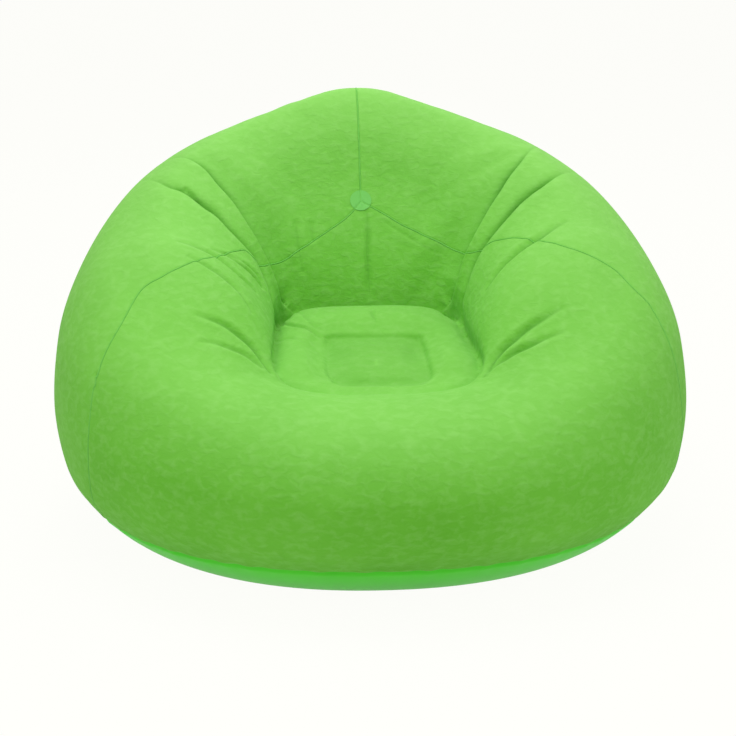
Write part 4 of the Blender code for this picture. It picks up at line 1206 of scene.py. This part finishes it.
STRAP_PATH = ((0.0233, 0.0087), (0.0205, 0.0087), (0.0182, 0.0088), (0.0168, 0.0104), (0.0154, 0.0116),
              (0.0141, 0.0109), (0.0131, 0.0094))
STRAP_HALF_WIDTH, STRAP_THICKNESS = 0.0025, 0.0008
STRAP_STEP, STRAP_FOOT_SHARE = 0.0004, 0.12
STRAP_BEND_START, STRAP_BEND_END = (0.0182, 0.0083), (0.0134, 0.0090)
strap, along, across = strip_piece("stopper_strap", 48, cap_vinyl)
path = smooth_line([(radius, height, 0) for radius, height in STRAP_PATH], STRAP_STEP)
steps = np.linspace(0, 1, len(path))
radius, height = np.interp(along, steps, path[:, 0]), np.interp(along, steps, path[:, 1])
foot = np.clip(1 - along / STRAP_FOOT_SHARE, 0, 1)
half = STRAP_HALF_WIDTH * np.sqrt(1 - 0.9 * foot ** 2)
write_points(strap, valve_places(half * across, -radius, height))
give_wall(strap, STRAP_THICKNESS)
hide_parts("cap_strap")
bend_start, bend_end = (tuple(valve_places(0.0, -radius, height))
                        for radius, height in (STRAP_BEND_START, STRAP_BEND_END))
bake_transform(strap, "insert", "cap", start=bend_start, end=bend_end)

# Studio: a plain pale floor and backdrop that show white to the camera, in mirrors and
# through glass. The floor keeps a faint shadow. Soft lamps stand above, in front, at both
# sides and behind, the strongest one above.


def seen_share(nodes, links):
    """1 for a ray that shows the backdrop: straight, off gloss or through clear stuff."""
    path = nodes.new("ShaderNodeLightPath")
    last = path.outputs["Is Camera Ray"]
    for kind in ("Is Glossy Ray", "Is Transmission Ray"):
        either = nodes.new("ShaderNodeMath")
        either.operation = "MAXIMUM"
        links.new(last, either.inputs[0])
        links.new(path.outputs[kind], either.inputs[1])
        last = either.outputs[0]
    return last


bpy.ops.mesh.primitive_plane_add(size=30, location=(0, 0, 0))
floor = bpy.context.object
floor.name = "studio_floor"
BACKDROP = (1, 1, 0.965, 1)
FLOOR_SEEN_SHARE = 0.97
pale, nodes, links, shader = start_material("studio_pale")
shader.inputs["Base Color"].default_value = (0.9, 0.9, 0.88, 1)
shader.inputs["Roughness"].default_value = 0.9
glow = nodes.new("ShaderNodeEmission")
glow.inputs["Color"].default_value = BACKDROP
glow.inputs["Strength"].default_value = 1.0
blend_shader = nodes.new("ShaderNodeMixShader")
links.new(times(nodes, links, seen_share(nodes, links), FLOOR_SEEN_SHARE), blend_shader.inputs["Fac"])
links.new(shader.outputs["BSDF"], blend_shader.inputs[1])
links.new(glow.outputs["Emission"], blend_shader.inputs[2])
links.new(blend_shader.outputs["Shader"], nodes["Material Output"].inputs["Surface"])
floor.data.materials.append(pale)
floor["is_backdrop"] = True
LAMPS = {
    "top_lamp": ((-0.3, -0.2, 3.2), 2.2, 64),
    "front_top_lamp": ((-0.5, -2.4, 2.4), 2.0, 20),
    "right_lamp": ((2.8, -1.0, 1.6), 2.0, 24),
    "rear_lamp": ((0.6, 2.6, 2.8), 2.0, 34),
    "left_lamp": ((-2.8, -1.0, 1.6), 2.0, 14),
}
for name, (place, size, power) in LAMPS.items():
    turn = (Vector(place) - VIEW_TARGET).to_track_quat("Z", "Y").to_euler()
    bpy.ops.object.light_add(type="AREA", location=place, rotation=turn)
    lamp = bpy.context.object
    lamp.name = name
    lamp.data.shape = "SQUARE"
    lamp.data.size = size
    lamp.data.energy = power
world = bpy.data.worlds.new("studio_air")
bpy.context.scene.world = world
world.use_nodes = True
nodes, links = world.node_tree.nodes, world.node_tree.links
fill_light = nodes["Background"]
fill_light.inputs["Color"].default_value = (1, 1, 1, 1)
fill_light.inputs["Strength"].default_value = 0.26
backdrop = nodes.new("ShaderNodeBackground")
backdrop.inputs["Color"].default_value = BACKDROP
backdrop.inputs["Strength"].default_value = 1.0
choose = nodes.new("ShaderNodeMixShader")
links.new(seen_share(nodes, links), choose.inputs["Fac"])
links.new(fill_light.outputs["Background"], choose.inputs[1])
links.new(backdrop.outputs["Background"], choose.inputs[2])
links.new(choose.outputs["Shader"], nodes["World Output"].inputs["Surface"])
bpy.context.scene.view_settings.view_transform = "Standard"

low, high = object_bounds()
